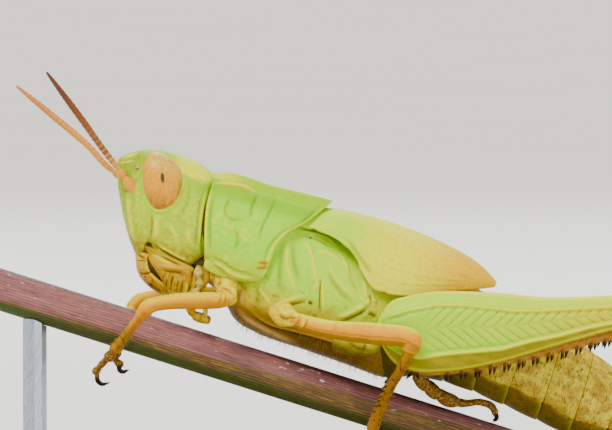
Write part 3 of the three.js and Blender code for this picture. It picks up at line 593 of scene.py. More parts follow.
eyes = {"x": -7.06, "y": 1.25, "z": 2.73, "front": 0.66, "rear": 1.08, "halfWidth": 0.62, "halfHeight": 1.12,
        "taper": 0.13, "forward": 0.3, "inward": 0.22}


def eyePoints(u, y, v, side):
    swell = 1 + eyes["taper"] * v
    x = eyes["x"] - eyes["forward"] * v + u * swell * np.where(u < 0, eyes["front"], eyes["rear"])
    return np.stack(
        [x, sides[side] * (eyes["y"] - eyes["inward"] * v) + y * eyes["halfWidth"] * swell, eyes["z"] + v * eyes["halfHeight"]],
        axis=1,
    )


def makeEye(side):
    deselectAll()
    bpy.ops.mesh.primitive_uv_sphere_add(segments=64, ring_count=40, radius=1)
    obj = bpy.context.object
    obj.name = "eye_" + side + "_lens"
    co = np.empty(len(obj.data.vertices) * 3)
    obj.data.vertices.foreach_get("co", co)
    co = co.reshape(-1, 3)
    setPoints(obj, eyePoints(co[:, 0], co[:, 1], co[:, 2], side))
    obj.data.shade_smooth()
    return dress(obj, ["eye_" + side], "eye_orange")


eyeObjects = {side: makeEye(side) for side in sides}

# ---- feelers ----
feelers = {
    "left": [[-7.88, 1.0, 2.1], [-8.42, 1.02, 2.5], [-9.6, 1.15, 3.33], [-10.7, 1.4, 4.17], [-12.6, 1.95, 5.57]],
    "right": [[-7.9, 1.0, 2.05], [-8.45, 1.1, 2.34], [-9.25, 1.35, 2.62], [-10.2, 1.7, 3.15], [-11.8, 2.4, 3.8], [-13.7, 3.2, 4.53]],
    "joints": 21,
    "sizes": [[0, 0.2, 0.22], [0.04, 0.22, 0.24], [0.085, 0.18, 0.19], [0.105, 0.12, 0.11], [0.13, 0.15, 0.16], [0.155, 0.14, 0.15],
              [0.17, 0.1, 0.1], [0.2, 0.115, 0.115], [0.4, 0.12, 0.13], [0.6, 0.115, 0.14], [0.8, 0.095, 0.12], [0.95, 0.065, 0.075],
              [1, 0.045, 0.05]],
}


def feelerBulge(t, turns):
    if t < 0.19:
        return np.ones(len(turns))
    step = (t - 0.19) / 0.81 * feelers["joints"]
    return np.ones(len(turns)) * (1 - 0.12 * math.exp(-(((step - round(step)) / 0.1) ** 2)))


def makeFeeler(side):
    rows = limbRows(mirrored(feelers[side], side), feelers["sizes"], 300, 20, shape=feelerBulge)
    obj = shell("feeler_" + side, rows)
    along = markLimb(obj, mirrored(feelers[side], side))
    step = (along - 0.19) / 0.81 * feelers["joints"]
    mark(obj, "ring", np.exp(-(((step - np.round(step)) / 0.09) ** 2)) * (along > 0.17) * ease(0.72, 0.5, along))
    mark(obj, "root", ease(0.34, 0.16, along))
    mark(obj, "tip", ease(0.45, 0.9, along))
    return dress(obj, ["antenna_" + side], "feeler_red")


feelerObjects = {side: makeFeeler(side) for side in sides}

# ---- mouthparts ----
mouth = {
    "clypeus": {"line": [[-7.02, 0, -0.08], [-7.08, 0, -0.34], [-7.0, 0, -0.58]], "half": [1.2, 1.18, 1.12]},
    "labrum": {"line": [[-6.98, 0, -0.6], [-6.86, 0, -0.9], [-6.6, 0, -1.2], [-6.22, 0, -1.42], [-5.7, 0, -1.6], [-5.3, 0, -1.66]],
               "half": [1.05, 1.08, 1.06, 1.0, 0.84, 0.5]},
    "thick": 0.16,
    "turnBack": 0.45,  # how far each shield's sides sweep back
}


lipStrokes = [
    ["brown", -0.05, 0.05, [(-6.75, -1.02), (-6.45, -0.98), (-6.2, -0.78)]],
    ["ochre", 0.0, 0.07, [(-6.95, -0.6), (-6.8, -0.8), (-6.6, -1.0)]],
    ["dark", 0.0, 0.07, [(-6.2, -1.3), (-6.0, -1.36)]],
    ["brown", 0.02, 0.09, [(-6.35, -1.25), (-5.9, -1.4), (-5.5, -1.55)]],
    ["brown", -0.04, 0.05, [(-6.95, -0.3), (-6.8, -0.36), (-6.7, -0.3)]],
]


def makeShield(name, nodes, columns=110, rows=90):
    facts = mouth[name]
    line = curveThrough(facts["line"], rows)
    halves = np.interp(np.linspace(0, 1, rows), np.linspace(0, 1, len(facts["half"])), facts["half"])
    run = np.gradient(line, axis=0)
    run /= np.linalg.norm(run, axis=1)[:, None]
    outer = []
    for p, d, half in zip(line, run, halves):
        u = np.linspace(-1, 1, columns)
        back = np.array([-d[2], 0, d[0]])  # away from the face, into the mouth
        if back[0] < 0:
            back = -back
        bow = (1 - np.sqrt(np.clip(1 - (0.96 * u) ** 2, 0, 1))) * mouth["turnBack"] / 0.72
        outer.append(p + np.outer(u * half, (0, 1, 0)) + np.outer(bow, back))
    obj = shell(name + "Shield", outer, closed=False, fill=False)
    thicken = obj.modifiers.new("thickness", "SOLIDIFY")
    thicken.thickness = mouth["thick"] / 1000
    thicken.offset = -1
    only(obj)
    bpy.ops.object.modifier_apply(modifier="thickness")
    engrave(obj, lipStrokes, facing=None)
    rim = nearLine(np.abs(bodyPoints(obj)), np.abs([row[-1] for row in outer]), 0.05, 0.02)
    carve(obj, rim * 0.03)
    mark(obj, "cream", rim * 0.8)
    return dress(obj, nodes, "mouth_tan")


clypeusShield = makeShield("clypeus", ["clypeus"], rows=30)
labrumShield = makeShield("labrum", ["labrum"])

jawLevels = table([
    [0, -1.46, -5.3, -4.62, 0.85],
    [0.3, -0.95, -5.84, -4.5, 1.24],
    [0.62, -0.4, -6.5, -4.62, 1.48],
    [0.84, -0.1, -6.68, -4.78, 1.55],
    [0.93, 0.02, -6.76, -5.6, 1.55],
    [1, 0.12, -6.82, -6.5, 1.5],
])


jawStrokes = [
    ["ochre", 0.08, 0.07, [(-6.05, -0.46), (-5.55, -0.4), (-5.1, -0.34), (-4.8, -0.5), (-4.58, -0.84)]],
    ["brown", -0.04, 0.06, [(-5.95, -0.62), (-5.5, -0.56), (-5.12, -0.5), (-4.9, -0.64)]],
    ["lime", 0.03, 0.07, [(-6.5, -0.06), (-5.95, -0.22), (-5.4, -0.25)]],
    ["brown", -0.05, 0.04, [(-6.1, -0.06), (-5.7, -0.14), (-5.2, -0.2)]],
] + [[tint, rise, width, [(s, top), (s + 0.02, -0.95), (s + 0.08, -1.35)]] for tint, rise, width, s, top in (
    ("brown", -0.04, 0.03, -5.74, -0.75), ("ochre", 0.03, 0.03, -5.66, -0.8), ("dark", -0.05, 0.025, -5.57, -0.9),
    ("ochre", 0.03, 0.03, -5.46, -0.62), ("brown", -0.05, 0.03, -5.36, -0.56), ("brown", -0.03, 0.025, -5.12, -0.7),
    ("ochre", 0.02, 0.06, -5.02, -0.7), ("brown", -0.04, 0.03, -4.92, -0.66), ("cream", 0.02, 0.07, -4.74, -0.75))]


def makeJaw(side):
    rows = []
    for t in np.linspace(0, 1, 110):
        z, front, rear, outer = jawLevels(t)[0]
        rows.append(levelRing(front, (front + rear) / 2, rear, 0.03 * sides[side], outer * sides[side], z, 2.4, 3, 150))
    obj = shell("jaw_" + side, rows)
    engrave(obj, jawStrokes)
    return dress(obj, ["mandible_" + side], "mouth_tan")


jawObjects = {side: makeJaw(side) for side in sides}
lip = shell("lipPlate", limbRows([[-4.5, 0, -0.2], [-4.45, 0, -0.7], [-4.55, 0, -1.3]], [[0, 0.95, 0.24], [0.5, 0.85, 0.26], [1, 0.55, 0.2]], 16, 32))
dress(lip, ["labium"], "mouth_tan")

palps = {
    "path": [[-4.5, 1.1, -0.35], [-4.44, 1.14, -1.0], [-4.4, 1.02, -1.65], [-4.08, 0.87, -1.98], [-3.52, 0.8, -2.02]],
    "sizes": [[0, 0.14, 0.14], [0.3, 0.13, 0.13], [0.6, 0.14, 0.14], [0.9, 0.17, 0.17], [1, 0.14, 0.14]],
    "inner": [[-4.2, 0.7, -1.0], [-3.86, 0.74, -1.4], [-3.72, 0.76, -1.68], [-3.64, 0.76, -1.92]],
    "innerSizes": [[0, 0.1, 0.1], [0.7, 0.1, 0.1], [1, 0.09, 0.09]],
    "cheekPart": [[-4.5, 1.2, -0.06], [-4.4, 1.3, -0.34], [-4.24, 1.3, -0.72], [-4.34, 1.25, -1.15]],
    "cheekSizes": [[0, 0.09, 0.11], [0.22, 0.13, 0.2], [0.4, 0.08, 0.09], [0.58, 0.12, 0.17], [0.74, 0.08, 0.08], [0.9, 0.12, 0.17], [1, 0.1, 0.12]],
    "stalk": [[-4.3, 1.0, 0.1], [-4.12, 1.1, -0.4], [-4.2, 1.0, -1.0]],
    "stalkSizes": [[0, 0.14, 0.18], [0.5, 0.14, 0.2], [1, 0.12, 0.12]],
}


def palpBulge(t, turns):
    return np.ones(len(turns)) * (1 - 0.3 * sum(math.exp(-(((t - j) / 0.035) ** 2)) for j in (0.25, 0.5, 0.74)))


def makePalp(side):
    pieces = []
    for line, sizes, tint in (("path", "sizes", "brown"), ("inner", "innerSizes", "pale"),
                              ("cheekPart", "cheekSizes", "pale"), ("stalk", "stalkSizes", "brown")):
        shape = palpBulge if line in ("path", "inner") else None
        piece = shell(line, limbRows(mirrored(palps[line], side), palps[sizes], 40, 20, shape=shape))
        mark(piece, tint, np.full(len(piece.data.vertices), 0.4 if tint == "brown" else 0.8))
        pieces.append(piece)
    return dress(joinAll(pieces, "palp_" + side + "_feeler"), ["palp_" + side], "mouth_tan")


palpObjects = {side: makePalp(side) for side in sides}
# Soft tissue that shows only in the gaps between plates, coloured dark as painted shade for those gaps.
cores = {
    "mouthCore": [[[-6.62, 0, 0.1], [-6.35, 0, -0.45], [-5.8, 0, -1.15]], [[0, 1.1, 0.52], [0.5, 1.0, 0.5], [1, 0.7, 0.2]]],
    "neckCore": [[[-5.4, 0, 1.7], [-4.8, 0, 1.62], [-4.2, 0, 1.55]], [[0, 1.35, 1.3], [0.5, 1.45, 1.5], [1, 1.4, 1.35]]],
    "throatCore": [[[-4.75, 0, 0.2], [-4.3, 0, 0.1], [-3.7, 0, 0.2]], [[0, 1.1, 0.5], [0.5, 1.15, 0.55], [1, 1.1, 0.5]]],
}
for name, (path, sizes) in cores.items():
    core = shell(name, limbRows(path, sizes, 30, 48))
    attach(core, "root")
    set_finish(core, "belly_olive")
    coreObjects.append(core)


# The outermost point of a piece near a place seen from the side.
def surfaceAt(obj, s, h, side):
    at = bodyPoints(obj)
    near = np.hypot(at[:, 0] - s, at[:, 2] - h) - 0.02 * at[:, 1] * sides[side]
    near[at[:, 1] * sides[side] < 0] = 9
    return at[near.argmin()]


ocellus = {"place": (-7.98, 3.0), "radius": 0.14, "flat": 0.4}


def makeOcellus(side):
    deselectAll()
    bpy.ops.mesh.primitive_uv_sphere_add(segments=24, ring_count=16, radius=1)
    obj = bpy.context.object
    obj.name = "ocellus_" + side
    co = np.empty(len(obj.data.vertices) * 3)
    obj.data.vertices.foreach_get("co", co)
    at = surfaceAt(headShell, *ocellus["place"], side)
    setPoints(obj, at + co.reshape(-1, 3) * ocellus["radius"] * np.array([1, ocellus["flat"], 0.85]))
    obj.data.shade_smooth()
    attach(obj, "root")
    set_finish(obj, "eye_orange")
    return obj


ocelli = [makeOcellus(side) for side in sides]
print("head made")

# ---- trunk ----
# Half outlines run from the crest over the shoulder, flank and hem to the keel.
def fullOutline(row, around):
    crest, shoulderY, shoulderZ, flankY, flankZ, hemY, hemZ, keel = row
    half = [[shoulderY, shoulderZ], [flankY, flankZ], [hemY, hemZ]]
    ring = [[0, crest]] + half + [[0, keel]] + [[-y, z] for y, z in reversed(half)]
    return curveThrough(ring, around, closed=True)


def sideEdge(rows):
    reader = table([[row[0], row[1]] for row in rows])
    return lambda z: reader(np.clip(z, rows[0][0], rows[-1][0]))[:, 0]


saddle = {
    "front": sideEdge([[0, -4.3], [0.5, -4.42], [0.9, -4.52], [1.5, -4.68], [2.5, -4.92], [3.35, -4.99], [3.7, -5.12]]),
    "rear": sideEdge([[0, -2.05], [0.6, -1.86], [1.2, -1.82], [2.1, -1.68], [2.5, -1.45], [2.8, -1.12], [3.5, -0.55], [4.05, -0.15]]),
    "outlines": table([
        [0, 3.66, 1.2, 3.32, 1.78, 1.7, 1.6, 0.42, 0.34],
        [0.15, 3.86, 1.1, 3.5, 1.84, 1.7, 1.66, 0.32, 0.26],
        [0.5, 3.86, 1.14, 3.46, 1.9, 1.7, 1.76, 0.02, 0.02],
        [0.8, 3.97, 1.35, 3.34, 2.0, 1.7, 1.85, 0.06, 0.06],
        [1, 4.05, 1.5, 3.2, 2.08, 1.7, 1.9, 0.16, 0.16],
    ]),
    "rows": 150,
    "around": 300,
}


def saddleRows():
    rows = []
    for t in np.linspace(0, 1, saddle["rows"]):
        ring = fullOutline(saddle["outlines"](t)[0], saddle["around"])
        x = mix(saddle["front"](ring[:, 1]), saddle["rear"](ring[:, 1]), t)
        rows.append(np.stack([x, ring[:, 0], ring[:, 1]], axis=1))
    return rows


saddleStrokes = [
    ["gold", 0.07, 0.055, [(-4.98, 3.34), (-4.6, 3.42), (-4.2, 3.51), (-3.8, 3.57), (-3.4, 3.53), (-3.1, 3.45)]],
    ["ochre", 0.0, 0.025, [(-4.8, 3.3), (-4.2, 3.43), (-3.8, 3.49), (-3.4, 3.45), (-3.1, 3.37)]],
    ["", 0.04, 0.07, [(-3.1, 3.45), (-2.4, 3.5), (-1.6, 3.6), (-0.8, 3.72), (-0.3, 3.8)]],
    ["gold", 0.06, 0.06, [(-4.94, 3.2), (-4.85, 2.3), (-4.66, 1.5), (-4.45, 0.85), (-4.3, 0.42)]],
    ["", -0.045, 0.06, [(-4.76, 3.15), (-4.7, 2.3), (-4.5, 1.5), (-4.28, 0.85), (-4.12, 0.5)]],
    ["gold", 0.07, 0.06, [(-4.28, 0.36), (-3.9, 0.32), (-3.55, 0.27), (-3.3, 0.16), (-3.0, 0.12), (-2.1, 0.16)]],
    ["", -0.04, 0.06, [(-4.2, 0.55), (-3.9, 0.5), (-3.55, 0.44), (-3.2, 0.31), (-2.2, 0.33)]],
    ["gold", 0.08, 0.065, [(-0.25, 3.9), (-0.58, 3.45), (-0.9, 3.0), (-1.24, 2.7), (-1.52, 2.45), (-1.74, 2.1), (-1.88, 1.7),
                           (-1.92, 1.2), (-1.9, 0.65), (-2.05, 0.2)]],
    ["", -0.045, 0.06, [(-0.5, 3.85), (-0.8, 3.38), (-1.08, 2.93), (-1.42, 2.6), (-1.68, 2.35), (-1.9, 2.0), (-2.05, 1.6), (-2.08, 1.2),
                        (-2.07, 0.7)]],
    ["ochre", 0.0, 0.05, [(-0.3, 3.72), (-0.6, 3.32), (-0.88, 3.0)]],
    ["rust", 0.02, 0.06, [(-2.34, 0.86), (-2.05, 0.94), (-1.84, 1.01)]],
    ["rust", 0.02, 0.06, [(-2.34, 0.64), (-2.05, 0.73), (-1.84, 0.84)]],
    ["ochre", 0.01, 0.07, [(-2.08, 0.84), (-1.86, 0.92)]],
    ["", -0.05, 0.06, [(-3.1, 3.5), (-3.18, 2.9), (-3.1, 2.4)]],
    ["", -0.04, 0.06, [(-4.1, 3.1), (-4.15, 2.4), (-3.8, 2.2), (-3.3, 2.35)]],
    ["", -0.05, 0.05, [(-2.35, 3.6), (-2.45, 2.9), (-2.55, 2.2), (-2.5, 1.6)]],
    ["", -0.03, 0.07, [(-3.6, 1.9), (-3.3, 1.5), (-3.35, 1.0)]],
    ["lime", 0.01, 0.045, [(-4.1, 2.25), (-3.85, 2.33)]],
    ["lime", 0.01, 0.045, [(-3.4, 1.65), (-3.25, 1.6)]],
]


def makeSaddle():
    obj = shell("saddleShell", saddleRows())
    engrave(obj, saddleStrokes, facing=(0.02, 0.12))
    crown = nearLine(bodyPoints(obj)[:, :2], [(-5.2, 0), (0, 0)], 0.09) * ease(0.5, 0.8, bodyNormals(obj)[:, 2])
    carve(obj, crown * 0.06)
    mark(obj, "lime", np.maximum(crown * 0.7, readMark(obj, "lime")))
    return dress(obj, ["pronotum"], "shield_green")


saddleShell = makeSaddle()

collar = {"outline": [(-4.3, 0.36), (-3.9, 0.42), (-3.5, 0.36), (-3.25, 0.12), (-3.3, -0.06), (-3.9, -0.1), (-4.28, 0.04)], "y": 1.52, "bulge": 0.16}


# The small plate under the saddle's front corner, swollen from its rim like a cushion.
def makeCollar(side):
    rim = curveThrough(collar["outline"], 48, closed=True)
    middle = rim.mean(axis=0)
    rows = []
    for t in np.linspace(0, math.pi, 22):
        ring = middle + (rim - middle) * math.sin(t) ** 0.6
        y = collar["y"] - math.cos(t) * collar["bulge"]
        rows.append(np.stack([ring[:, 0], np.full(48, y * sides[side]), ring[:, 1]], axis=1))
    obj = shell("collarPlate_" + side, rows)
    mark(obj, "gold", nearLine(bodyPoints(obj)[:, [0, 2]], collar["outline"] + collar["outline"][:1], 0.08))
    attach(obj, "root")
    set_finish(obj, "shield_green")
    return obj


collars = [makeCollar(side) for side in sides]

bodyOutlines = table([
    [-2.95, -0.45, 0.4, -0.58, 0.62, -0.85, 0.42, -1.16, -1.24],
    [-2.6, 1.4, 0.95, 0.9, 1.35, 0, 1.05, -1.15, -1.64],
    [-1.8, 2.8, 1.35, 2.05, 1.86, 0.5, 1.42, -1.2, -1.92],
    [0, 3.15, 1.45, 2.4, 2.02, 0.6, 1.6, -1.28, -2.0],
    [1.6, 3.1, 1.4, 2.3, 2.0, 0.6, 1.6, -1.3, -2.06],
    [3, 2.95, 1.3, 2.15, 1.88, 0.5, 1.45, -1.3, -2.1],
    [4.6, 2.8, 1.25, 2.0, 1.75, 0.4, 1.2, -1.08, -1.64],
    [7, 2.35, 1.2, 1.7, 1.7, 0.25, 1.15, -0.95, -1.52],
    [9, 2.02, 1.15, 1.35, 1.7, 0.05, 1.15, -1.08, -1.7],
    [11, 1.6, 1.1, 0.98, 1.65, -0.15, 1.12, -1.3, -1.95],
    [13, 0.86, 0.92, 0.35, 1.38, -0.45, 0.95, -1.5, -2.1],
    [14.8, 0, 0.66, -0.3, 1.0, -0.85, 0.66, -1.62, -2.02],
    [16.2, -0.82, 0.36, -0.98, 0.52, -1.22, 0.36, -1.5, -1.72],
])
seams = {"front": (-2.95, 0), "thorax": (0.45, 0.42), "waist": (3, 0.46),
         "belly": [(4.5, 0.32), (5.95, 0.2), (7.4, 0.08), (8.85, 0), (10.3, 0), (11.7, 0), (13.1, 0), (14.4, 0), (15.5, 0)]}


def bodyRows(start, end, count, around, flare=None, overlap=0.0):
    rows = []
    for t in np.linspace(0, 1, count):
        outline = bodyOutlines(mix(start[0], end[0], t))[0]
        ring = fullOutline(outline, around)
        middle = (outline[0] + outline[-1]) / 2
        grown = 1 + (flare(t) if flare else 0) / np.maximum(0.5, np.hypot(ring[:, 0], ring[:, 1] - middle))
        y, z = ring[:, 0] * grown, middle + (ring[:, 1] - middle) * grown
        x = mix(start[0] - start[1] * z, end[0] + overlap - end[1] * z, t)
        rows.append(np.stack([x, y, z], axis=1))
    return rows


flankStrokes = [
    ["lime", 0.06, 0.08, [(-1.42, 2.15), (-1.15, 1.15), (-0.65, 0.42), (-0.4, 0.15)]],
    ["lime", 0.06, 0.08, [(-0.8, 2.3), (-0.4, 1.9), (0.0, 1.2), (0.22, 0.7)]],
    ["", -0.05, 0.1, [(-1.2, 2.1), (-0.9, 1.3), (-0.45, 0.6)]],
    ["", -0.06, 0.12, [(-1.62, 1.9), (-1.4, 1.0), (-1.2, 0.3), (-0.9, -0.1)]],
    ["brown", -0.05, 0.035, [(0.28, 1.1), (0.48, 0.3), (0.72, -0.4)]],
    ["lime", 0.05, 0.06, [(0.42, 1.0), (0.6, 0.35), (0.86, -0.35)]],
    ["gold", 0.04, 0.08, [(0.12, 0.5), (0.3, 0.82)]],
    ["lime", 0.07, 0.06, [(-0.55, -1.42), (-0.98, -1.03), (-1.12, -0.75), (-1.02, -0.49), (-0.45, -0.05), (0.09, 0.3)]],
    ["brown", -0.05, 0.05, [(-0.5, -1.28), (-0.88, -1.0), (-0.98, -0.75), (-0.88, -0.52)]],
    ["brown", -0.06, 0.06, [(-0.9, -0.62), (-0.4, -0.28), (0.05, 0.0)]],
    ["dark", -0.06, 0.08, [(0.14, -0.12), (0.24, 0.02)]],
    ["cream", 0.05, 0.06, [(-0.2, 1.9), (0.1, 2.08), (0.6, 2.0), (1.0, 1.85)]],
    ["lime", 0.05, 0.06, [(0.4, 1.72), (0.8, 1.25), (1.3, 0.92), (1.9, 0.66)]],
    ["", -0.06, 0.09, [(0.5, 1.4), (0.9, 0.95), (1.4, 0.62), (1.9, 0.4)]],
    ["gold", 0.1, 0.08, [(2.0, 0.82), (2.3, 0.6), (2.45, 0.75), (2.78, 0.86)]],
    ["gold", 0.11, 0.08, [(2.4, 0.62), (2.0, 0.2), (1.6, -0.15), (1.35, -0.32)]],
    ["brown", -0.07, 0.06, [(2.52, 0.48), (2.12, 0.06), (1.72, -0.29), (1.45, -0.46)]],
    ["gold", 0.03, 0.16, [(2.55, 0.9), (2.75, 0.6)]],
    ["brown", -0.05, 0.1, [(2.5, 0.28), (2.9, 0.2)]],
    ["", -0.05, 0.06, [(1.2, 1.9), (1.5, 1.3), (1.9, 0.9)]],
    ["ochre", 0.05, 0.06, [(-2.3, -0.95), (-1.7, -1.22), (-1.1, -1.36), (-0.4, -1.34), (0.6, -1.28), (1.6, -1.26), (2.8, -1.25)]],
    ["dark", -0.05, 0.05, [(-2.2, -1.08), (-1.6, -1.34), (-1.0, -1.47), (-0.4, -1.44), (0.6, -1.38), (1.6, -1.36), (2.8, -1.35)]],
    ["tan", 0.03, 0.1, [(-2.5, -1.1), (-2.2, -1.38), (-1.4, -1.6), (-0.6, -1.72), (0.2, -1.78)]],
    ["tan", 0.02, 0.05, [(-2.55, -0.2), (-2.5, -0.7), (-2.3, -1.0)]],
    ["lime", 0.03, 0.06, [(-2.0, -0.1), (-1.6, -0.35), (-1.3, -0.6)]],
    ["cream", 0.06, 0.05, [(-1.1, 2.55), (-0.5, 2.62), (0.1, 2.6), (0.6, 2.4)]],
    ["", -0.05, 0.05, [(-0.9, 2.42), (-0.3, 2.45), (0.4, 2.3)]],
    ["lime", 0.05, 0.05, [(0.75, 2.2), (1.15, 1.8), (1.5, 1.35), (1.75, 0.95)]],
    ["cream", 0.05, 0.06, [(1.95, 1.5), (2.15, 1.15), (2.25, 0.8)]],
    ["lime", 0.05, 0.07, [(2.5, 1.15), (2.75, 1.0), (2.95, 0.7)]],
    ["brown", -0.05, 0.05, [(2.35, 1.0), (2.5, 0.7)]],
    ["", -0.05, 0.1, [(-2.1, 0.1), (-1.9, -0.4), (-1.7, -0.9)]],
]


def makeFlank(name, node, start, end, rows):
    obj = shell(name, bodyRows(start, end, rows, 300))
    engrave(obj, flankStrokes)
    return dress(obj, [node], "flank_green")


flankShells = {
    "mesothorax": makeFlank("midThorax", "mesothorax", seams["front"], seams["thorax"], 130),
    "metathorax": makeFlank("hindThorax", "metathorax", seams["thorax"], seams["waist"], 120),
}
throat = dress(
    shell("throatPlate", limbRows([[-4.05, 0, -0.2], [-3.4, 0, -0.32], [-2.7, 0, -0.4]], [[0, 1.1, 0.34], [0.5, 1.42, 0.46], [1, 1.4, 0.5]], 20, 48)),
    ["prosternum"], "belly_olive",
)

bellyRings = []
bounds = [seams["waist"]] + seams["belly"]
for i, (start, end) in enumerate(zip(bounds[:-1], bounds[1:])):
    flare = lambda t: 0.02 * (2 * t - 1) + 0.045 * math.sin(math.pi * t) ** 0.7
    ring = shell("bellyRing" + str(i + 1), bodyRows(start, end, 44, 160, flare, -0.02))
    at = bodyPoints(ring)
    hem = np.interp(at[:, 0], [4, 7.5, 9, 10.3, 11.7, 14.5], [-0.75, -0.88, -0.95, -1.15, -1.45, -1.3])
    mark(ring, "under", ease(0.09, -0.08, at[:, 2] - hem))
    rim = np.exp(-(((at[:, 0] - end[0] + end[1] * at[:, 2]) / 0.13) ** 2))
    mark(ring, "lime", rim * 0.3)
    carve(ring, -0.05 * np.exp(-(((at[:, 2] - hem) / 0.05) ** 2)))
    corner = np.exp(-(((at[:, 2] - hem) / 0.13) ** 2) - ((at[:, 0] - start[0] - 0.25) / 0.4) ** 2)
    mark(ring, "brown", np.maximum(0.25 * np.exp(-(((at[:, 2] - hem) / 0.05) ** 2)), corner * 0.8))
    bellyRings.append(dress(ring, ["abdomen_" + str(i + 1)], "belly_olive"))

tail = {"points": [[(15.9, 0.16, -1.1), (17.05, 0.11, -1.3)], [(15.9, 0.16, -1.48), (17.05, 0.11, -1.72)]], "radius": 0.2}
tailPieces = [shell("tailShield", bodyRows((15.5, 0), (16.2, 0), 20, 64))]
for k, (root, tip) in enumerate(tail["points"]):
    for side in sides:
        sizes = [[0, 0.2, 0.2], [0.6, 0.16, 0.15], [0.85, 0.12, 0.1], [1, 0.02, 0.02]]
        path = mirrored([root, ((root[0] + tip[0]) / 2, root[1], (root[2] + tip[2]) / 2), tip], side)
        tailPieces.append(shell("tailPoint" + str(k) + side, limbRows(path, sizes, 24, 20, rounding=(4, 2))))
tailTip = dress(joinAll(tailPieces, "tailTip"), ["abdomen_tip"], "belly_olive")
print("trunk made")

# ---- wing pads ----
wings = {
    "ridge": [[-0.9, 0.06, 3.56], [-0.3, 0.06, 3.72], [1, 0.06, 3.9], [3, 0.06, 3.93], [5, 0.1, 3.72], [6.2, 0.38, 3.42], [7.1, 0.85, 2.94]],
    "hem": [[-1.25, 1.2, 2.8], [-0.75, 1.55, 2.84], [0.4, 1.95, 2.72], [1.25, 2.05, 2.4], [1.85, 2.15, 1.75], [2.4, 2.2, 1.28], [3.1, 2.2, 1.22],
            [4.1, 2.15, 1.5], [5.2, 1.95, 2.02], [6.3, 1.5, 2.42], [7.06, 1.05, 2.74]],
    "bulge": 0.27,
    "towards": (0, 0.86, 0.5),
    "thick": 0.2,
    "rows": 110,
    "across": 90,
}


wingStrokes = [
    ["gold", 0.05, 0.05, [(-0.75, 2.85), (-0.4, 2.95), (0.1, 3.0)]],
    ["gold", 0.04, 0.045, [(-0.2, 3.62), (0.1, 3.75), (0.45, 3.88)]],
    ["lime", 0.05, 0.07, [(0.5, 2.72), (0.85, 2.52), (1.3, 2.15), (1.8, 1.8), (2.1, 1.5), (2.4, 1.32)]],
    ["", -0.05, 0.08, [(0.65, 2.9), (1.05, 2.68), (1.5, 2.3), (2.0, 1.92), (2.35, 1.6)]],
    ["cream", 0.03, 0.06, [(1.32, 2.95), (1.38, 2.6)]],
    ["brown", 0.0, 0.035, [(2.35, 1.29), (2.7, 1.23), (3.1, 1.24), (3.6, 1.33), (4.1, 1.5)]],
    ["brown", 0.0, 0.06, [(2.75, 1.25), (3.0, 1.24)]],
    ["orange", 0.0, 0.04, [(4.1, 1.52), (5.2, 2.04), (6.3, 2.44), (7.0, 2.74)]],
    ["", 0.03, 0.06, [(0.2, 3.2), (1.8, 3.1), (3.6, 2.9), (5.2, 2.85), (6.6, 2.9)]],
    ["", 0.03, 0.06, [(0.0, 3.5), (2.0, 3.45), (4.0, 3.3), (5.6, 3.1), (6.7, 3.0)]],
    ["", 0.025, 0.05, [(1.4, 2.6), (2.8, 2.35), (4.4, 2.4), (6.0, 2.7)]],
    ["", 0.025, 0.05, [(2.2, 1.9), (3.4, 1.85), (4.8, 2.2), (6.0, 2.55)]],
]


def makeWing(side):
    ridge = curveThrough(mirrored(wings["ridge"], side), wings["rows"])
    hem = curveThrough(mirrored(wings["hem"], side), wings["rows"])
    outwards = np.array([0, sides[side] * wings["towards"][1], wings["towards"][2]])
    u = np.linspace(0, 1, wings["across"])
    rows = []
    for top, low in zip(ridge, hem):
        swell = np.sin(math.pi * u) * np.linalg.norm(top - low) * wings["bulge"] * mix(0.35, 1, ease(-0.9, 0.5, top[0]))
        rows.append(top + np.outer(u, low - top) + np.outer(swell, outwards))
    obj = shell("wingPad_" + side, rows, closed=False, fill=False)
    n = bodyNormals(obj)
    if n[:, 1].mean() * sides[side] < 0:
        only(obj)
        bpy.ops.object.mode_set(mode="EDIT")
        bpy.ops.mesh.select_all(action="SELECT")
        bpy.ops.mesh.flip_normals()
        bpy.ops.object.mode_set(mode="OBJECT")
    engrave(obj, wingStrokes, facing=None)
    thicken = obj.modifiers.new("thickness", "SOLIDIFY")
    thicken.thickness = wings["thick"] / 1000
    thicken.offset = -1
    only(obj)
    bpy.ops.object.modifier_apply(modifier="thickness")
    return dress(obj, ["wing_" + side], "wing_yellow")


wingObjects = {side: makeWing(side) for side in sides}

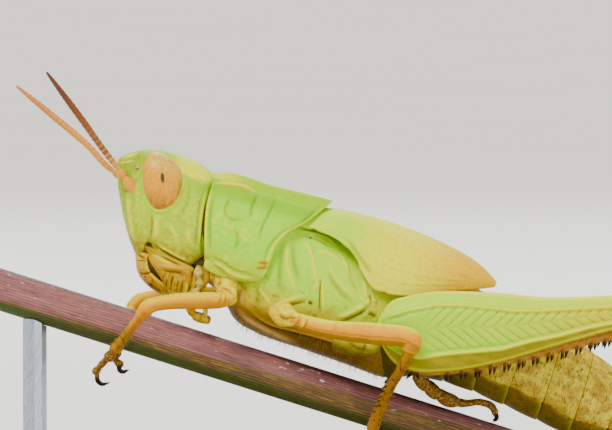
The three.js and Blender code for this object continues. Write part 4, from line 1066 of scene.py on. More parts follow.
# ---- walking legs ----
walking = {
    "fore": {
        "left": {
            "coxa": [[-3.35, 1.1, -0.2], [-3.1, 1.5, -0.6], [-2.95, 1.85, -0.85]],
            "femur": [[-3.25, 2.15, -1.0], [-4.0, 2.5, -1.25], [-5.0, 2.8, -1.58], [-5.9, 3.0, -2.06]],
            "tibia": [[-6.08, 2.85, -2.45], [-6.3, 2.15, -3.08], [-6.54, 1.45, -3.8], [-6.7, 1.2, -4.2]],
            "tarsus": [[-6.85, 1.0, -4.6], [-7.02, 0.8, -4.95], [-7.16, 0.6, -5.3]],
            "claws": [[-7.08, 0.55, -5.44], [-6.98, 0.45, -5.66], [-6.78, 0.35, -5.74], [-6.52, 0.25, -5.6]],
        },
        "right": {
            "coxa": [[-3.35, 1.1, -0.2], [-3.1, 1.5, -0.6], [-2.95, 1.85, -0.85]],
            "femur": [[-3.25, 2.15, -1.0], [-4.3, 2.6, -1.3], [-5.4, 2.95, -1.75], [-6.33, 3.12, -2.24]],
            "tibia": [[-6.55, 2.95, -2.6], [-6.64, 2.3, -3.15], [-6.62, 1.55, -3.85], [-6.62, 1.25, -4.2]],
            "tarsus": [[-6.62, 1.0, -4.5], [-6.54, 0.72, -4.72], [-6.36, 0.42, -4.8]],
            "claws": [[-6.36, 0.35, -4.86], [-6.28, 0.25, -5.02], [-6.12, 0.15, -5.05], [-5.92, 0.1, -4.88]],
        },
        "sizes": {
            "coxa": [[0, 0.42, 0.5], [0.6, 0.38, 0.42], [1, 0.3, 0.32]],
            "femur": [[0, 0.22, 0.25], [0.1, 0.27, 0.3], [0.35, 0.3, 0.33], [0.8, 0.26, 0.28], [0.93, 0.28, 0.29], [1, 0.25, 0.25]],
            "tibia": [[0, 0.23, 0.24], [0.1, 0.2, 0.2], [0.8, 0.2, 0.2], [1, 0.23, 0.23]],
            "tarsus": [[0, 0.2, 0.2], [0.3, 0.22, 0.2], [0.6, 0.14, 0.13], [1, 0.17, 0.15]],
        },
    },
    "mid": {
        "left": {
            "coxa": [[-0.85, 1.55, -0.72], [-0.6, 1.9, -0.8], [-0.35, 2.15, -0.84]],
            "femur": [[0.05, 2.45, -0.86], [1.3, 2.98, -0.76], [3.0, 3.58, -0.38], [4.4, 3.98, -0.14]],
            "tibia": [[4.52, 3.88, -0.5], [4.42, 3.3, -1.4], [4.22, 2.4, -2.4], [4.12, 1.65, -3.45], [4.1, 1.35, -4.1]],
            "tarsus": [[4.12, 1.12, -4.42], [4.2, 0.65, -4.6], [4.35, -0.05, -4.58]],
            "claws": [[4.38, -0.15, -4.55], [4.46, -0.36, -4.58], [4.52, -0.54, -4.5], [4.54, -0.66, -4.32]],
        },
        "right": {
            "coxa": [[-0.85, 1.55, -0.72], [-0.6, 1.9, -0.8], [-0.35, 2.15, -0.84]],
            "femur": [[0.05, 2.45, -0.86], [1.3, 2.98, -0.76], [3.0, 3.58, -0.38], [4.55, 3.98, -0.12]],
            "tibia": [[4.78, 3.9, -0.55], [4.55, 3.3, -1.4], [4.32, 2.4, -2.4], [4.5, 1.65, -3.4], [4.95, 1.35, -4.1]],
            "tarsus": [[5.1, 1.12, -4.42], [5.2, 0.65, -4.6], [5.3, -0.05, -4.58]],
            "claws": [[5.32, -0.15, -4.55], [5.36, -0.36, -4.58], [5.4, -0.54, -4.5], [5.42, -0.66, -4.32]],
        },
        "sizes": {
            "coxa": [[0, 0.46, 0.5], [0.6, 0.44, 0.48], [1, 0.32, 0.34]],
            "femur": [[0, 0.24, 0.26], [0.08, 0.26, 0.3], [0.3, 0.3, 0.34], [0.65, 0.32, 0.42], [0.88, 0.3, 0.4], [1, 0.27, 0.36]],
            "tibia": [[0, 0.25, 0.27], [0.1, 0.22, 0.22], [0.8, 0.22, 0.22], [1, 0.24, 0.24]],
            "tarsus": [[0, 0.2, 0.2], [0.3, 0.22, 0.2], [0.6, 0.14, 0.13], [1, 0.17, 0.15]],
        },
    },
}


def clawPair(name, points, side, spread):
    path = np.array(mirrored(points, side))
    spread = np.array(spread, dtype=float)
    hooks = []
    for hand in (-1, 1):
        apart = np.outer([0, 0.1, 0.14, 0.16], spread * hand)
        sizes = [[0, 0.1, 0.1], [0.5, 0.085, 0.085], [0.8, 0.05, 0.05], [1, 0.01, 0.01]]
        hook = shell(name + str(hand), limbRows(path + apart, sizes, 16, 10, spread, (3, 2)))
        mark(hook, "black", ease(0.08, 0.2, np.linalg.norm(bodyPoints(hook) - path[0], axis=1)))
        hooks.append(hook)
    return hooks


# Femora are keeled lengthwise, coxae lumpy, and tarsi padded.
legShapes = {
    "femur": lambda t, turns: 1 + 0.05 * np.cos(4 * turns + 0.7) + 0.03 * math.exp(-(((t - 0.93) / 0.05) ** 2)),
    "tibia": lambda t, turns: 1 + 0.03 * np.cos(4 * turns) + 0.02 * math.sin(t * 40),
    "coxa": lambda t, turns: 1 + 0.06 * np.cos(3 * turns + 4 * t),
    "tarsus": lambda t, turns: np.full(len(turns), 1 + 0.12 * math.cos(t * 19)),
}
coxaStrokes = [
    ["cream", 0.05, 0.06, [(-3.34, -0.08), (-3.24, -0.31), (-3.4, -0.5)]],
    ["brown", -0.05, 0.04, [(-3.6, -0.15), (-3.5, -0.35), (-3.58, -0.54)]],
    ["rust", -0.03, 0.04, [(-3.45, -0.55), (-3.17, -0.53), (-2.83, -0.66)]],
    ["cream", 0.05, 0.05, [(-3.05, -0.4), (-2.85, -0.5), (-2.7, -0.75)]],
    ["", 0.025, 0.03, [(-3.42, -0.72), (-3.36, -0.95), (-3.4, -1.18)]],
    ["brown", -0.02, 0.02, [(-3.32, -0.72), (-3.26, -0.95), (-3.3, -1.18)]],
    ["", 0.025, 0.03, [(-3.22, -0.7), (-3.16, -0.95), (-3.2, -1.18)]],
    ["brown", -0.02, 0.02, [(-3.12, -0.7), (-3.06, -0.95), (-3.1, -1.16)]],
    ["", 0.025, 0.03, [(-3.02, -0.72), (-2.95, -0.92), (-3.0, -1.12)]],
    ["cream", 0.06, 0.06, [(-0.95, -0.5), (-0.7, -0.75), (-0.45, -0.6), (-0.2, -0.5)]],
    ["brown", -0.07, 0.05, [(-0.9, -0.85), (-0.6, -0.95), (-0.35, -0.8), (-0.1, -0.72)]],
    ["cream", 0.05, 0.05, [(-0.7, -1.1), (-0.35, -1.1), (-0.1, -0.98)]],
    ["rust", -0.04, 0.04, [(-0.15, -1.1), (-0.05, -0.8), (-0.1, -0.55)]],
    ["cream", 0.04, 0.04, [(0.1, -1.1), (0.16, -0.85), (0.1, -0.6)]],
    ["brown", -0.03, 0.03, [(0.22, -1.1), (0.28, -0.85), (0.22, -0.6)]],
]
legSpines = {"count": 6, "from": 0.5, "to": 0.82, "length": 0.2, "radius": 0.045}


def tibiaSpine(line, k, side):
    share = mix(legSpines["from"], legSpines["to"], (k // 2) / (legSpines["count"] - 1))
    at = line[int(share * (len(line) - 1))]
    hand = 1 if k % 2 else -1
    root = at + np.array([-0.14, -0.12 * sides[side] * hand, 0])
    return darkSpike(root, root + np.array([-0.1, -0.06 * sides[side] * hand, -0.14]) * legSpines["length"] / 0.18, legSpines["radius"])


legObjects = {}
for pair in walking:
    for side in sides:
        points = walking[pair][side]
        spread = (1, 0, 0) if pair == "mid" else (0, 1, 0)
        for part in ("coxa", "femur", "tibia", "tarsus"):
            across = spread if part == "tarsus" else (0, 1, 0)
            rings = {"coxa": 40, "femur": 110, "tibia": 50, "tarsus": 40}[part]
            path = list(points[part])
            if part == "femur":
                path = points["coxa"][-1:] + path + points["tibia"][:1]
            if part == "tarsus":
                path = points["tibia"][-1:] + path
            rows = limbRows(mirrored(path, side), walking[pair]["sizes"][part], rings, 36, across, shape=legShapes.get(part))
            name = pair + "Leg_" + side + "_" + part
            obj = shell(name, rows)
            markLimb(obj, mirrored(path, side), {"tibia": 0.02 if pair == "mid" else 0.42, "tarsus": -1}.get(part, 2))
            mark(obj, "plain", np.full(len(obj.data.vertices), float(pair == "fore" or part == "coxa")))
            mark(obj, "hip", np.full(len(obj.data.vertices), float(part == "coxa")))
            engrave(obj, coxaStrokes if part in ("coxa", "femur") else [])
            if (pair, part) == ("mid", "tibia"):
                line = curveThrough(mirrored(path, side), 60)
                obj = joinAll([obj] + [tibiaSpine(line, k, side) for k in range(legSpines["count"] * 2)], name)
            if part == "tarsus":
                obj = joinAll([obj] + clawPair(name + "Claw", points["claws"], side, spread), name)
            legObjects[pair, side, part] = dress(
                obj, [pair + "leg_" + side + "_" + part], "shin_brown" if part == "tarsus" else "leg_tan"
            )
print("walking legs made")

# ---- jumping legs ----
jumping = {
    "root": {"left": (2.95, 0.0, 21.4), "right": (2.95, -0.16, 20.8)},  # x, z and rise in degrees
    "rootY": 2.68,
    "kneeY": 3.3,
    "length": 13.6,
    "sections": table([  # along, crest, upper ridge, lower ridge, keel, half thickness
        [0, 0.02, -0.08, -0.5, -0.62, 0.2],
        [0.5, 0.7, 0.35, -1.15, -1.5, 0.42],
        [1.3, 0.97, 0.5, -1.42, -1.98, 0.55],
        [2.6, 1.08, 0.6, -1.38, -2.1, 0.62],
        [4.7, 0.87, 0.35, -1.3, -1.88, 0.6],
        [7, 0.52, 0.1, -0.95, -1.38, 0.52],
        [9.4, 0.43, 0.07, -0.6, -0.88, 0.44],
        [11.5, 0.42, 0.1, -0.33, -0.58, 0.38],
        [12.6, 0.5, 0.15, -0.38, -0.66, 0.4],
        [13.3, 0.4, 0.1, -0.34, -0.58, 0.36],
        [13.7, 0.18, 0.02, -0.2, -0.32, 0.2],
    ]),
    "upperRidge": [(0, 0.1), (1.3, 0.46), (2.4, 0.6), (3.5, 0.52), (4.5, 0.34), (5.5, 0.16), (6.5, 0.1), (8.7, 0.06), (13.7, 0.05)],
    "lowerRidge": [(0, -0.6), (0.9, -1.25), (1.6, -1.45), (2.75, -1.36), (4.9, -1.32), (6, -1.09), (7.2, -0.94), (8.4, -0.7), (9.6, -0.55),
                   (11.5, -0.35), (13.7, -0.25)],
    "chevron": 0.46,
    "around": 220,
    "rows": 330,
    "shin": [[13.35, -0.45], [12.9, -0.84], [12, -0.92], [9.2, -1.12], [6.9, -1.54], [4.6, -1.88], [2.65, -2.03], [1.35, -1.95]],
    "shinIn": 0.25,
    "shinSizes": [[0, 0.2, 0.26], [0.06, 0.22, 0.24], [0.12, 0.18, 0.22], [0.92, 0.17, 0.21], [0.97, 0.24, 0.24], [1, 0.22, 0.2]],
    "foot": [[5.16, 2.3, -1.6], [5.85, 1.5, -1.94], [6.6, 0.8, -2.14], [7.32, 0.52, -2.12], [7.9, 0.46, -1.89], [8.42, 0.43, -1.9], [8.62, 0.42, -2.08]],
    "footSizes": [[0, 0.2, 0.2], [0.12, 0.22, 0.22], [0.4, 0.2, 0.22], [0.58, 0.24, 0.22], [0.7, 0.12, 0.12], [0.9, 0.13, 0.13], [1, 0.15, 0.14]],
    "claws": [[8.6, 0.42, -2.08], [8.74, 0.42, -2.24], [8.74, 0.42, -2.34], [8.66, 0.42, -2.44]],
    "coxa": [[1.9, 1.5, -1.15], [2.6, 1.8, -1.05], [3.1, 2.0, -0.95]],
    "coxaSizes": [[0, 0.46, 0.48], [0.5, 0.44, 0.48], [1, 0.34, 0.36]],
}


def thighPlace(points, side):
    p = np.asarray(points, dtype=float).reshape(-1, 3)  # along, up, out
    x0, z0, rise = jumping["root"][side]
    c, s = math.cos(math.radians(rise)), math.sin(math.radians(rise))
    y = sides[side] * (mix(jumping["rootY"], jumping["kneeY"], p[:, 0] / jumping["length"]) + p[:, 2])
    return np.stack([x0 + p[:, 0] * c - p[:, 1] * s, y, z0 + p[:, 0] * s + p[:, 1] * c], axis=1)


def thighLocal(points, side):
    x0, z0, rise = jumping["root"][side]
    c, s = math.cos(math.radians(rise)), math.sin(math.radians(rise))
    x, z = points[:, 0] - x0, points[:, 2] - z0
    along = x * c + z * s
    out = points[:, 1] * sides[side] - mix(jumping["rootY"], jumping["kneeY"], along / jumping["length"])
    return np.stack([along, z * c - x * s, out], axis=1)


def makeThigh(side):
    rows = []
    places = 13.7 * (1 - np.cos(np.linspace(0, math.pi, jumping["rows"]))) / 2
    for along in places * 0.6 + np.linspace(0, 13.7, jumping["rows"]) * 0.4:
        crest, upper, lower, keel, half = jumping["sections"](along)[0]
        keelHalf = min(0.36, half * 0.8)
        flank = [[half * 0.5, mix(crest, upper, 0.25)], [half, upper], [half, lower], [keelHalf, mix(keel, lower, 0.05)]]
        ring = [[0, crest]] + flank + [[0, keel]] + [[-o, u] for o, u in reversed(flank)]
        ring = curveThrough(ring, jumping["around"], closed=True)
        rows.append(thighPlace(np.stack([np.full(len(ring), along), ring[:, 1], ring[:, 0]], axis=1), side))
    obj = shell("thigh_" + side, rows)
    local = thighLocal(bodyPoints(obj), side)
    along, up, out = local.T
    outside = ease(0.0, 0.12, np.abs(out))
    upper, lower = (np.interp(along, *zip(*jumping[name])) for name in ("upperRidge", "lowerRidge"))
    ridges = np.maximum(np.exp(-(((up - upper) / 0.055) ** 2)), np.exp(-(((up - lower) / 0.06) ** 2))) * outside
    crest = np.exp(-((out / 0.09) ** 2)) * (up > 0)
    middle = (upper + lower) / 2 + 0.08
    half = (upper - lower) / 2
    chevron = (along - 1.15 * np.abs(up - middle)) / jumping["chevron"]
    inner = ease(0.98, 0.8, np.abs(up - middle) / np.maximum(half, 0.05)) * ease(1.6, 2.6, along) * ease(12.0, 10.0, along) * outside
    herring = np.exp(-(((chevron - np.round(chevron)) * jumping["chevron"] / 0.06) ** 2)) * inner * ease(0.02, 0.12, np.abs(up - middle))
    spine = np.exp(-(((up - middle) / 0.05) ** 2)) * inner
    top, keel = jumping["sections"](along)[:, [0, 3]].T
    rimLine = np.exp(-(((up - top) / 0.075) ** 2)) * ease(0.05, 0.5, along)
    keelLine = np.exp(-(((up - keel - 0.1) / 0.05) ** 2)) * outside
    fineLines = sum(np.exp(-(((up - mix(upper, top, share)) / 0.03) ** 2)) for share in (0.3, 0.6)) * outside
    between = np.exp(-(((np.abs(chevron - np.round(chevron)) - 0.3) / 0.14) ** 2)) * inner
    lift = ridges * 0.07 - herring * 0.035 - spine * 0.02 + crest * 0.04 + fineLines * 0.012 + between * 0.012
    lift -= 0.05 * np.exp(-(((up - upper + 0.13) / 0.07) ** 2)) * outside + 0.05 * np.exp(-(((up - lower - 0.13) / 0.07) ** 2)) * outside
    carve(obj, lift * ease(0.1, 1.0, along) * ease(13.6, 12.8, along))
    mark(obj, "along", along)
    creamy = np.maximum(ridges * ease(0.6, 1.6, along), np.maximum(rimLine, fineLines * 0.35))
    mark(obj, "cream", creamy * ease(13.3, 12.3, along) * 0.9)
    mark(obj, "lime", np.maximum(between * 0.35, keelLine * 0.6))
    mark(obj, "herring", (herring + spine * 0.5) * 0.9)
    mark(obj, "belowKeel", ease(-0.02, -0.12, up - lower))
    mark(obj, "aboveCrest", ease(0.02, 0.2, up - upper))
    return obj


thighs = {side: dress(makeThigh(side), ["hindleg_" + side + "_femur"], "thigh_green") for side in sides}
shinHeight = sideEdge([row for row in reversed(jumping["shin"]) if row[0] < 13])


def makeShin(side):
    path = thighPlace([[a, u, -jumping["shinIn"]] for a, u in jumping["shin"]], side)
    pieces = [shell("shin_" + side, limbRows(path, jumping["shinSizes"], 120, 24))]
    for start, hand in ((2.7, 1), (2.88, -1)):
        for k in range(13):
            along = start + k * 0.58
            height = shinHeight(along)[0] - 0.14
            root = thighPlace([[along, height, hand * 0.12 - jumping["shinIn"]]], side)[0]
            tip = thighPlace([[along - 0.1, height - 0.34, hand * 0.24 - jumping["shinIn"]]], side)[0]
            pieces.append(darkSpike(root, tip, 0.085))
    a, u = jumping["shin"][-1]
    for hand, reach, drop in ((-1, 0.3, 0.3), (1, 0.34, 0.34), (-1, -0.12, 0.42), (1, -0.2, 0.4)):
        root = thighPlace([[a + 0.05, u - 0.04, hand * 0.14 - jumping["shinIn"]]], side)[0]
        tip = thighPlace([[a - reach, u - drop, hand * 0.3 - jumping["shinIn"]]], side)[0]
        pieces.append(darkSpike(root, tip, 0.09))
    return joinAll(pieces, "shin_" + side)




# Three pads, a notch between each, then a slender claw joint.
def footBulge(t, turns):
    under = np.clip(-np.cos(turns), 0, 1)
    notch = sum(math.exp(-(((t - j) / 0.022) ** 2)) for j in (0.2, 0.38, 0.62))
    pad = abs(math.sin(math.pi * t / 0.2)) if t < 0.6 else 0
    return 1 - 0.22 * notch + 0.25 * pad * under


hipStrokes = [
    ["brown", -0.06, 0.05, [(2.0, -1.0), (2.5, -1.2), (3.1, -1.15)]],
    ["cream", 0.04, 0.06, [(2.2, -0.8), (2.7, -0.9), (3.2, -0.8)]],
    ["brown", -0.05, 0.05, [(2.7, -0.75), (2.8, -1.1), (2.75, -1.4)]],
]
shins = {side: dress(makeShin(side), ["hindleg_" + side + "_tibia"], "shin_brown") for side in sides}
for side in sides:
    foot = shell("hindFoot_" + side, limbRows(mirrored(jumping["foot"], side), jumping["footSizes"], 90, 32, shape=footBulge))
    markLimb(foot, mirrored(jumping["foot"], side))
    foot = joinAll([foot] + clawPair("hindClaw", jumping["claws"], side, (0, 1, 0)), "hindFoot_" + side)
    legObjects["hind", side, "tarsus"] = dress(foot, ["hindleg_" + side + "_tarsus"], "shin_brown")
    hip = shell("hindHip_" + side, limbRows(mirrored(jumping["coxa"], side), jumping["coxaSizes"], 24, 36))
    engrave(hip, hipStrokes)
    mark(hip, "gold", 0.55 * ease(-1.5, -0.8, bodyPoints(hip)[:, 2]))
    legObjects["hind", side, "coxa"] = dress(hip, ["hindleg_" + side + "_coxa"], "belly_olive")
print("jumping legs made")

# ---- hairs ----
# Each coat of hairs: which piece, how many, length, radius and the way they lean, and which places grow them.
coats = [
    {"on": flankShells["mesothorax"], "count": 260, "length": 0.3, "radius": 0.011, "lean": (0.2, 0, -1.0), "grows": lambda at: (at[:, 2] < -1.25) & (at[:, 0] > -2.4)},
    {"on": flankShells["metathorax"], "count": 200, "length": 0.28, "radius": 0.011, "lean": (0.25, 0, -1.0), "grows": lambda at: at[:, 2] < -1.25},
    {"on": flankShells["mesothorax"], "count": 90, "length": 0.14, "radius": 0.008, "lean": (0.5, 0, -0.3), "grows": lambda at: (at[:, 2] < 0.4) & (at[:, 2] > -1.2)},
    {"on": headShell, "count": 110, "length": 0.13, "radius": 0.008, "lean": (-0.5, 0, -0.8), "grows": lambda at: (at[:, 2] < 1.6) & (at[:, 0] < -5.2)},
    {"on": labrumShield, "count": 70, "length": 0.16, "radius": 0.009, "lean": (0.2, 0, -1.0), "grows": lambda at: at[:, 2] < -0.9},
]
for side in sides:
    for pair in ("fore", "mid"):
        coats.append({"on": legObjects[pair, side, "femur"], "count": 70, "length": 0.16, "radius": 0.009, "lean": (0.3, 0, -0.3), "grows": None})
        coats.append({"on": legObjects[pair, side, "tibia"], "count": 120, "length": 0.2, "radius": 0.01, "lean": (-0.1, 0, -0.9), "grows": None})
        coats.append({"on": legObjects[pair, side, "tarsus"], "count": 60, "length": 0.15, "radius": 0.009, "lean": (0, 0, -0.6), "grows": None})
    coats.append({"on": shins[side], "count": 220, "length": 0.24, "radius": 0.01, "lean": (-0.5, 0, -0.8), "grows": lambda at: at[:, 2] < 3.4})
    coats.append({"on": legObjects["hind", side, "tarsus"], "count": 110, "length": 0.17, "radius": 0.01, "lean": (0.6, 0, -0.7), "grows": None})
    coats.append({"on": thighs[side], "count": 90, "length": 0.12, "radius": 0.008, "lean": (0.6, 0, -0.9), "grows": lambda at: at[:, 2] < 4})


# Hairs are three-sided slivers, four faces each, all in one mesh per coat.
def growHairs(coat, number):
    at, out = bodyPoints(coat["on"]), bodyNormals(coat["on"])
    places = np.nonzero(coat["grows"](at))[0] if coat["grows"] else np.arange(len(at))
    pick = np.random.default_rng(number).choice(places, coat["count"])
    jitter = np.random.default_rng(number + 50).normal(0, 0.22, (coat["count"], 3))
    ways = out[pick] * 0.8 + np.array(coat["lean"]) * 0.7 + jitter
    ways /= np.linalg.norm(ways, axis=1)[:, None]
    lengths = coat["length"] * (0.7 + 0.6 * np.random.default_rng(number + 90).random(coat["count"]))
    deselectAll()
    bpy.ops.mesh.primitive_cone_add(vertices=3, radius1=1, radius2=0, depth=1)
    hair = bpy.context.object
    form = np.array([v.co[:] for v in hair.data.vertices])
    hairs = []
    for root, way, length in zip(at[pick], ways, lengths):
        copy = hair.copy()
        copy.data = hair.data.copy()
        bpy.context.collection.objects.link(copy)
        wide = np.cross(way, (0.31, 0.9, 0.3))
        wide /= np.linalg.norm(wide)
        deep = np.cross(way, wide)
        spots = root + np.outer(form[:, 0], wide) * coat["radius"] + np.outer(form[:, 1], deep) * coat["radius"] + np.outer((form[:, 2] + 0.45) * length, way)
        setPoints(copy, spots)
        hairs.append(copy)
    bpy.data.objects.remove(hair)
    obj = joinAll(hairs, "hairs" + str(number))
    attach(obj, "root")
    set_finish(obj, "shin_brown")
    return obj


hairCoats = [growHairs(coat, number) for number, coat in enumerate(coats)]
print("hairs grown")

# ---- perch ----
perch = {"radius": 0.83, "height": -3.36, "front": -12.6, "rear": 13, "around": 264, "rows": 150, "ribs": 44, "ribDepth": 0.018}


def makePerch():
    turns = np.linspace(0, 2 * math.pi, perch["around"], endpoint=False)
    ends = [(0.0, 0.06, 0), (0.25, 0.05, 0), (0.5, 0.0, 0), (0.54, 0.03, 0), (0.9, 0.0, 0.4), (0.97, 0.0, 1)]  # share of the radius, sunk
    places = np.linspace(perch["front"] + 0.03, perch["rear"] - 0.03, perch["rows"])
    levels = [(perch["front"] + sunk, share, ribs) for share, sunk, ribs in ends] + [(s, 1, 1) for s in places]
    levels += [(perch["rear"] - sunk, share, ribs) for share, sunk, ribs in reversed(ends)]
    rows = []
    for s, share, ribs in levels:
        wave = 0.5 - 0.5 * np.cos(perch["ribs"] * turns + 0.6 * math.sin(s * 0.35))
        r = (perch["radius"] - perch["ribDepth"] * ribs * wave ** 0.7) * share
        rows.append(np.stack([np.full(perch["around"], s), np.sin(turns) * r, perch["height"] + np.cos(turns) * r], axis=1))
    obj = shell("cutStem", rows)
    at = bodyPoints(obj)
    out = np.hypot(at[:, 1], at[:, 2] - perch["height"]) / perch["radius"]
    turn = np.arctan2(at[:, 1], at[:, 2] - perch["height"])
    mark(obj, "rib", 0.5 - 0.5 * np.cos(perch["ribs"] * turn + 0.6 * np.sin(at[:, 0] * 0.35)))
    mark(obj, "pith", ease(0.95, 0.85, out))
    mark(obj, "hollow", ease(0.54, 0.5, out))
    return obj


perchStem = dress(makePerch(), ["perch_stem"], "stem_mauve")

# ---- finishes ----
tints = {
    "cream": paint(246, 236, 110),
    "gold": paint(230, 216, 30),
    "lime": paint(222, 230, 90),
    "ochre": paint(204, 168, 56),
    "orange": paint(240, 150, 40),
    "rust": paint(196, 84, 40),
    "tan": paint(210, 188, 132),
    "brown": paint(128, 82, 14),
    "dark": paint(52, 34, 12),
}


# A living shell: a base colour with washes over it, fine mottling, the tints its engraving marked, painted shade in its
# grooves, and pores.
def skin(name, base, washes, mottle=0.16, rough=0.42, pores=14.0, depth=0.012, **shader):
    look = Look(name, **{"Specular_IOR_Level": 0.06, "Subsurface_Weight": 0.1, "Subsurface_Scale": 0.0004, **shader})
    cloud = look.noise(2.6, 4, 0.6)
    fine = look.noise(17, 3, 0.6)
    color = look.layers(base, *washes(look, cloud, fine))
    color = look.blend(look.step(0.52, 0.75, cloud) * mottle * 2, color, paint(236, 238, 170), "SOFT_LIGHT")
    color = look.blend(look.step(0.5, 0.3, cloud) * mottle * 2, color, paint(86, 96, 30), "SOFT_LIGHT")
    color = look.blend(look.step(0.56, 0.68, fine) * mottle, color, paint(110, 100, 30))
    for tint, value in tints.items():
        color = look.blend(look.mark(tint) * (0.75 + fine * 0.3), color, value)
    # Painted shade: every marked groove is darkened as if shade lay in it.
    color = look.blend(look.mark("grooveShade") * 0.75, color, (0.5, 0.52, 0.28, 1), "MULTIPLY")
    height = look.cells(pores) * 0.6 + fine * 0.5 + cloud * 0.5
    return look.finish(color, fine * 0.16 + (rough - 0.08), height, depth)


def headWashes(look, cloud, fine):
    gena = look.step(2.2, 0.9, look.h + cloud * 0.8)
    crown = look.step(3.28, 3.4, look.h)
    return [
        (look.step(-7.3, -8.3, look.s), paint(170, 188, 48)),
        (gena * 0.7, paint(192, 196, 56)),
        (look.step(0.65, 0.05, look.h + (cloud - 0.5) * 0.4) * 0.9, paint(184, 164, 40)),
        (crown * look.step(-6.9, -6.2, look.s) * 0.85, paint(222, 224, 84)),
        (look.step(3.3, 3.05, look.h) * look.step(2.7, 3.0, look.h) * look.step(-6.0, -5.7, look.s) * 0.3, paint(156, 184, 44)),
        (look.step(0.5, 0.62, look.noise(5.5, 2)) * look.step(3.2, 2.6, look.h) * 0.4, paint(216, 218, 96)),
    ]


def saddleWashes(look, cloud, fine):
    return [
        (look.step(2.7, 3.2, look.h) * look.step(3.62, 3.4, look.h) * 0.6, paint(150, 186, 36)),
        (look.step(1.3, 0.2, look.h), paint(192, 204, 56)),
        (look.step(-2.0, -0.9, look.s) * 0.5, paint(166, 202, 40)),
        # Painted shade: the top above the carinae is darkened to offset the light falling from above.
        (look.step(3.5, 3.62, look.h) * 0.9, paint(178, 202, 40)),
        (look.step(3.5, 3.62, look.h) * look.step(-3.2, -4.8, look.s) * 0.7, paint(226, 232, 84)),
        (look.step(0.5, 0.66, look.noise(4.4, 3, 0.6)) * look.step(-2.2, -3.0, look.s) * look.step(2.9, 2.3, look.h) * 0.6, paint(214, 224, 110)),
    ]


def flankWashes(look, cloud, fine):
    low = look.step(0.5, -0.65, look.h + (cloud - 0.5) * 0.9)
    return [
        (low * 0.9, paint(202, 186, 36)),
        (look.step(-0.6, -1.15, look.h + (cloud - 0.5) * 0.5), paint(168, 130, 24)),
        # The lowest flank darker brown: partly its own colour, partly painted shade from the light above.
        (look.step(-1.15, -1.45, look.h), paint(132, 96, 14)),
        (look.step(2.6, 3.4, look.s) * 0.6, paint(186, 158, 40)),
        (look.step(0.56, 0.66, look.noise(6, 3, 0.6)) * look.step(1.6, -0.2, look.h) * 0.5, paint(150, 104, 20)),
        # Painted light: the flank under the wing is lightened to offset the shadow the wing casts there.
        (look.step(-0.6, 1.2, look.s) * look.step(-0.4, 0.6, look.h) * 0.3, paint(212, 230, 112)),
        (look.step(2.1, 2.6, look.s) * look.step(-0.1, 0.4, look.h) * 0.5, paint(216, 200, 120)),
    ]


def wingWashes(look, cloud, fine):
    drift = look.s + (cloud - 0.5) * 0.8
    return [
        (look.step(0.4, 2.8, drift), paint(234, 222, 60)),
        (look.step(3.0, 6.2, drift + (look.h - 2.6) * 0.25), paint(246, 186, 62)),
        (look.step(3.5, 3.95, look.h) * look.step(5.5, 2.0, look.s) * 0.5, paint(214, 222, 66)),
        (look.step(0.6, 0.4, look.noise(3, 2, 0.5, (0.25, 1, 1.6))) * 0.2, paint(244, 232, 100)),
        (look.step(0.47, 0.6, look.noise(7, 4, 0.65)) * look.step(0.5, 3.0, look.s) * 0.3, paint(236, 176, 40)),
        (look.step(0.55, 0.4, look.noise(9, 3, 0.6)) * look.step(0.5, 3.0, look.s) * 0.25, paint(252, 238, 120)),
    ]


def thighWashes(look, cloud, fine):
    outer = look.mark("along")
    return [
        (look.step(3.5, 11.5, outer + (cloud - 0.5) * 2) * 0.75, paint(212, 186, 36)),
        (look.mark("belowKeel"), paint(172, 162, 8)),
        (look.mark("belowKeel") * look.step(0.45, 0.65, look.noise(2, 3, 0.6, (0.2, 1, 2))) * 0.5, paint(190, 182, 24)),
        (look.mark("aboveCrest") * 0.65, paint(198, 230, 78)),
        (look.mark("herring") * 0.55, paint(150, 172, 24)),
        (look.step(7.5, 10.0, outer) * look.step(0.5, 0.62, look.noise(4, 3, 0.6)) * 0.45, paint(222, 182, 84)),
        (look.step(11.8, 13.0, outer) * 0.8, paint(206, 150, 40)),
    ]


def bellyWashes(look, cloud, fine):
    specks = look.step(0.54, 0.63, look.noise(8, 4, 0.65, (1.8, 1, 0.5)))
    return [
        (look.step(0.4, 0.62, cloud) * 0.75, paint(224, 208, 130)),
        # The sternites' own olive-brown, made darker still as painted shade under the body.
        (look.mark("under") * (look.step(0.3, 0.55, cloud) * 0.35 + 0.55), paint(104, 84, 4)),
        (look.step(0.58, 0.7, look.noise(3.4, 4, 0.65)) * 0.6, paint(140, 104, 22)),
        (specks * 0.8, paint(92, 62, 14)),
        (look.step(5.6, 4.2, look.s) * look.step(-0.6, 0.1, look.h), paint(206, 206, 96)),
        # Painted shade on the lower part of the front rings, under the wing and thigh.
        (look.step(8.5, 5.5, look.s) * look.step(-0.3, -0.9, look.h) * 0.85, paint(104, 84, 2)),
    ]


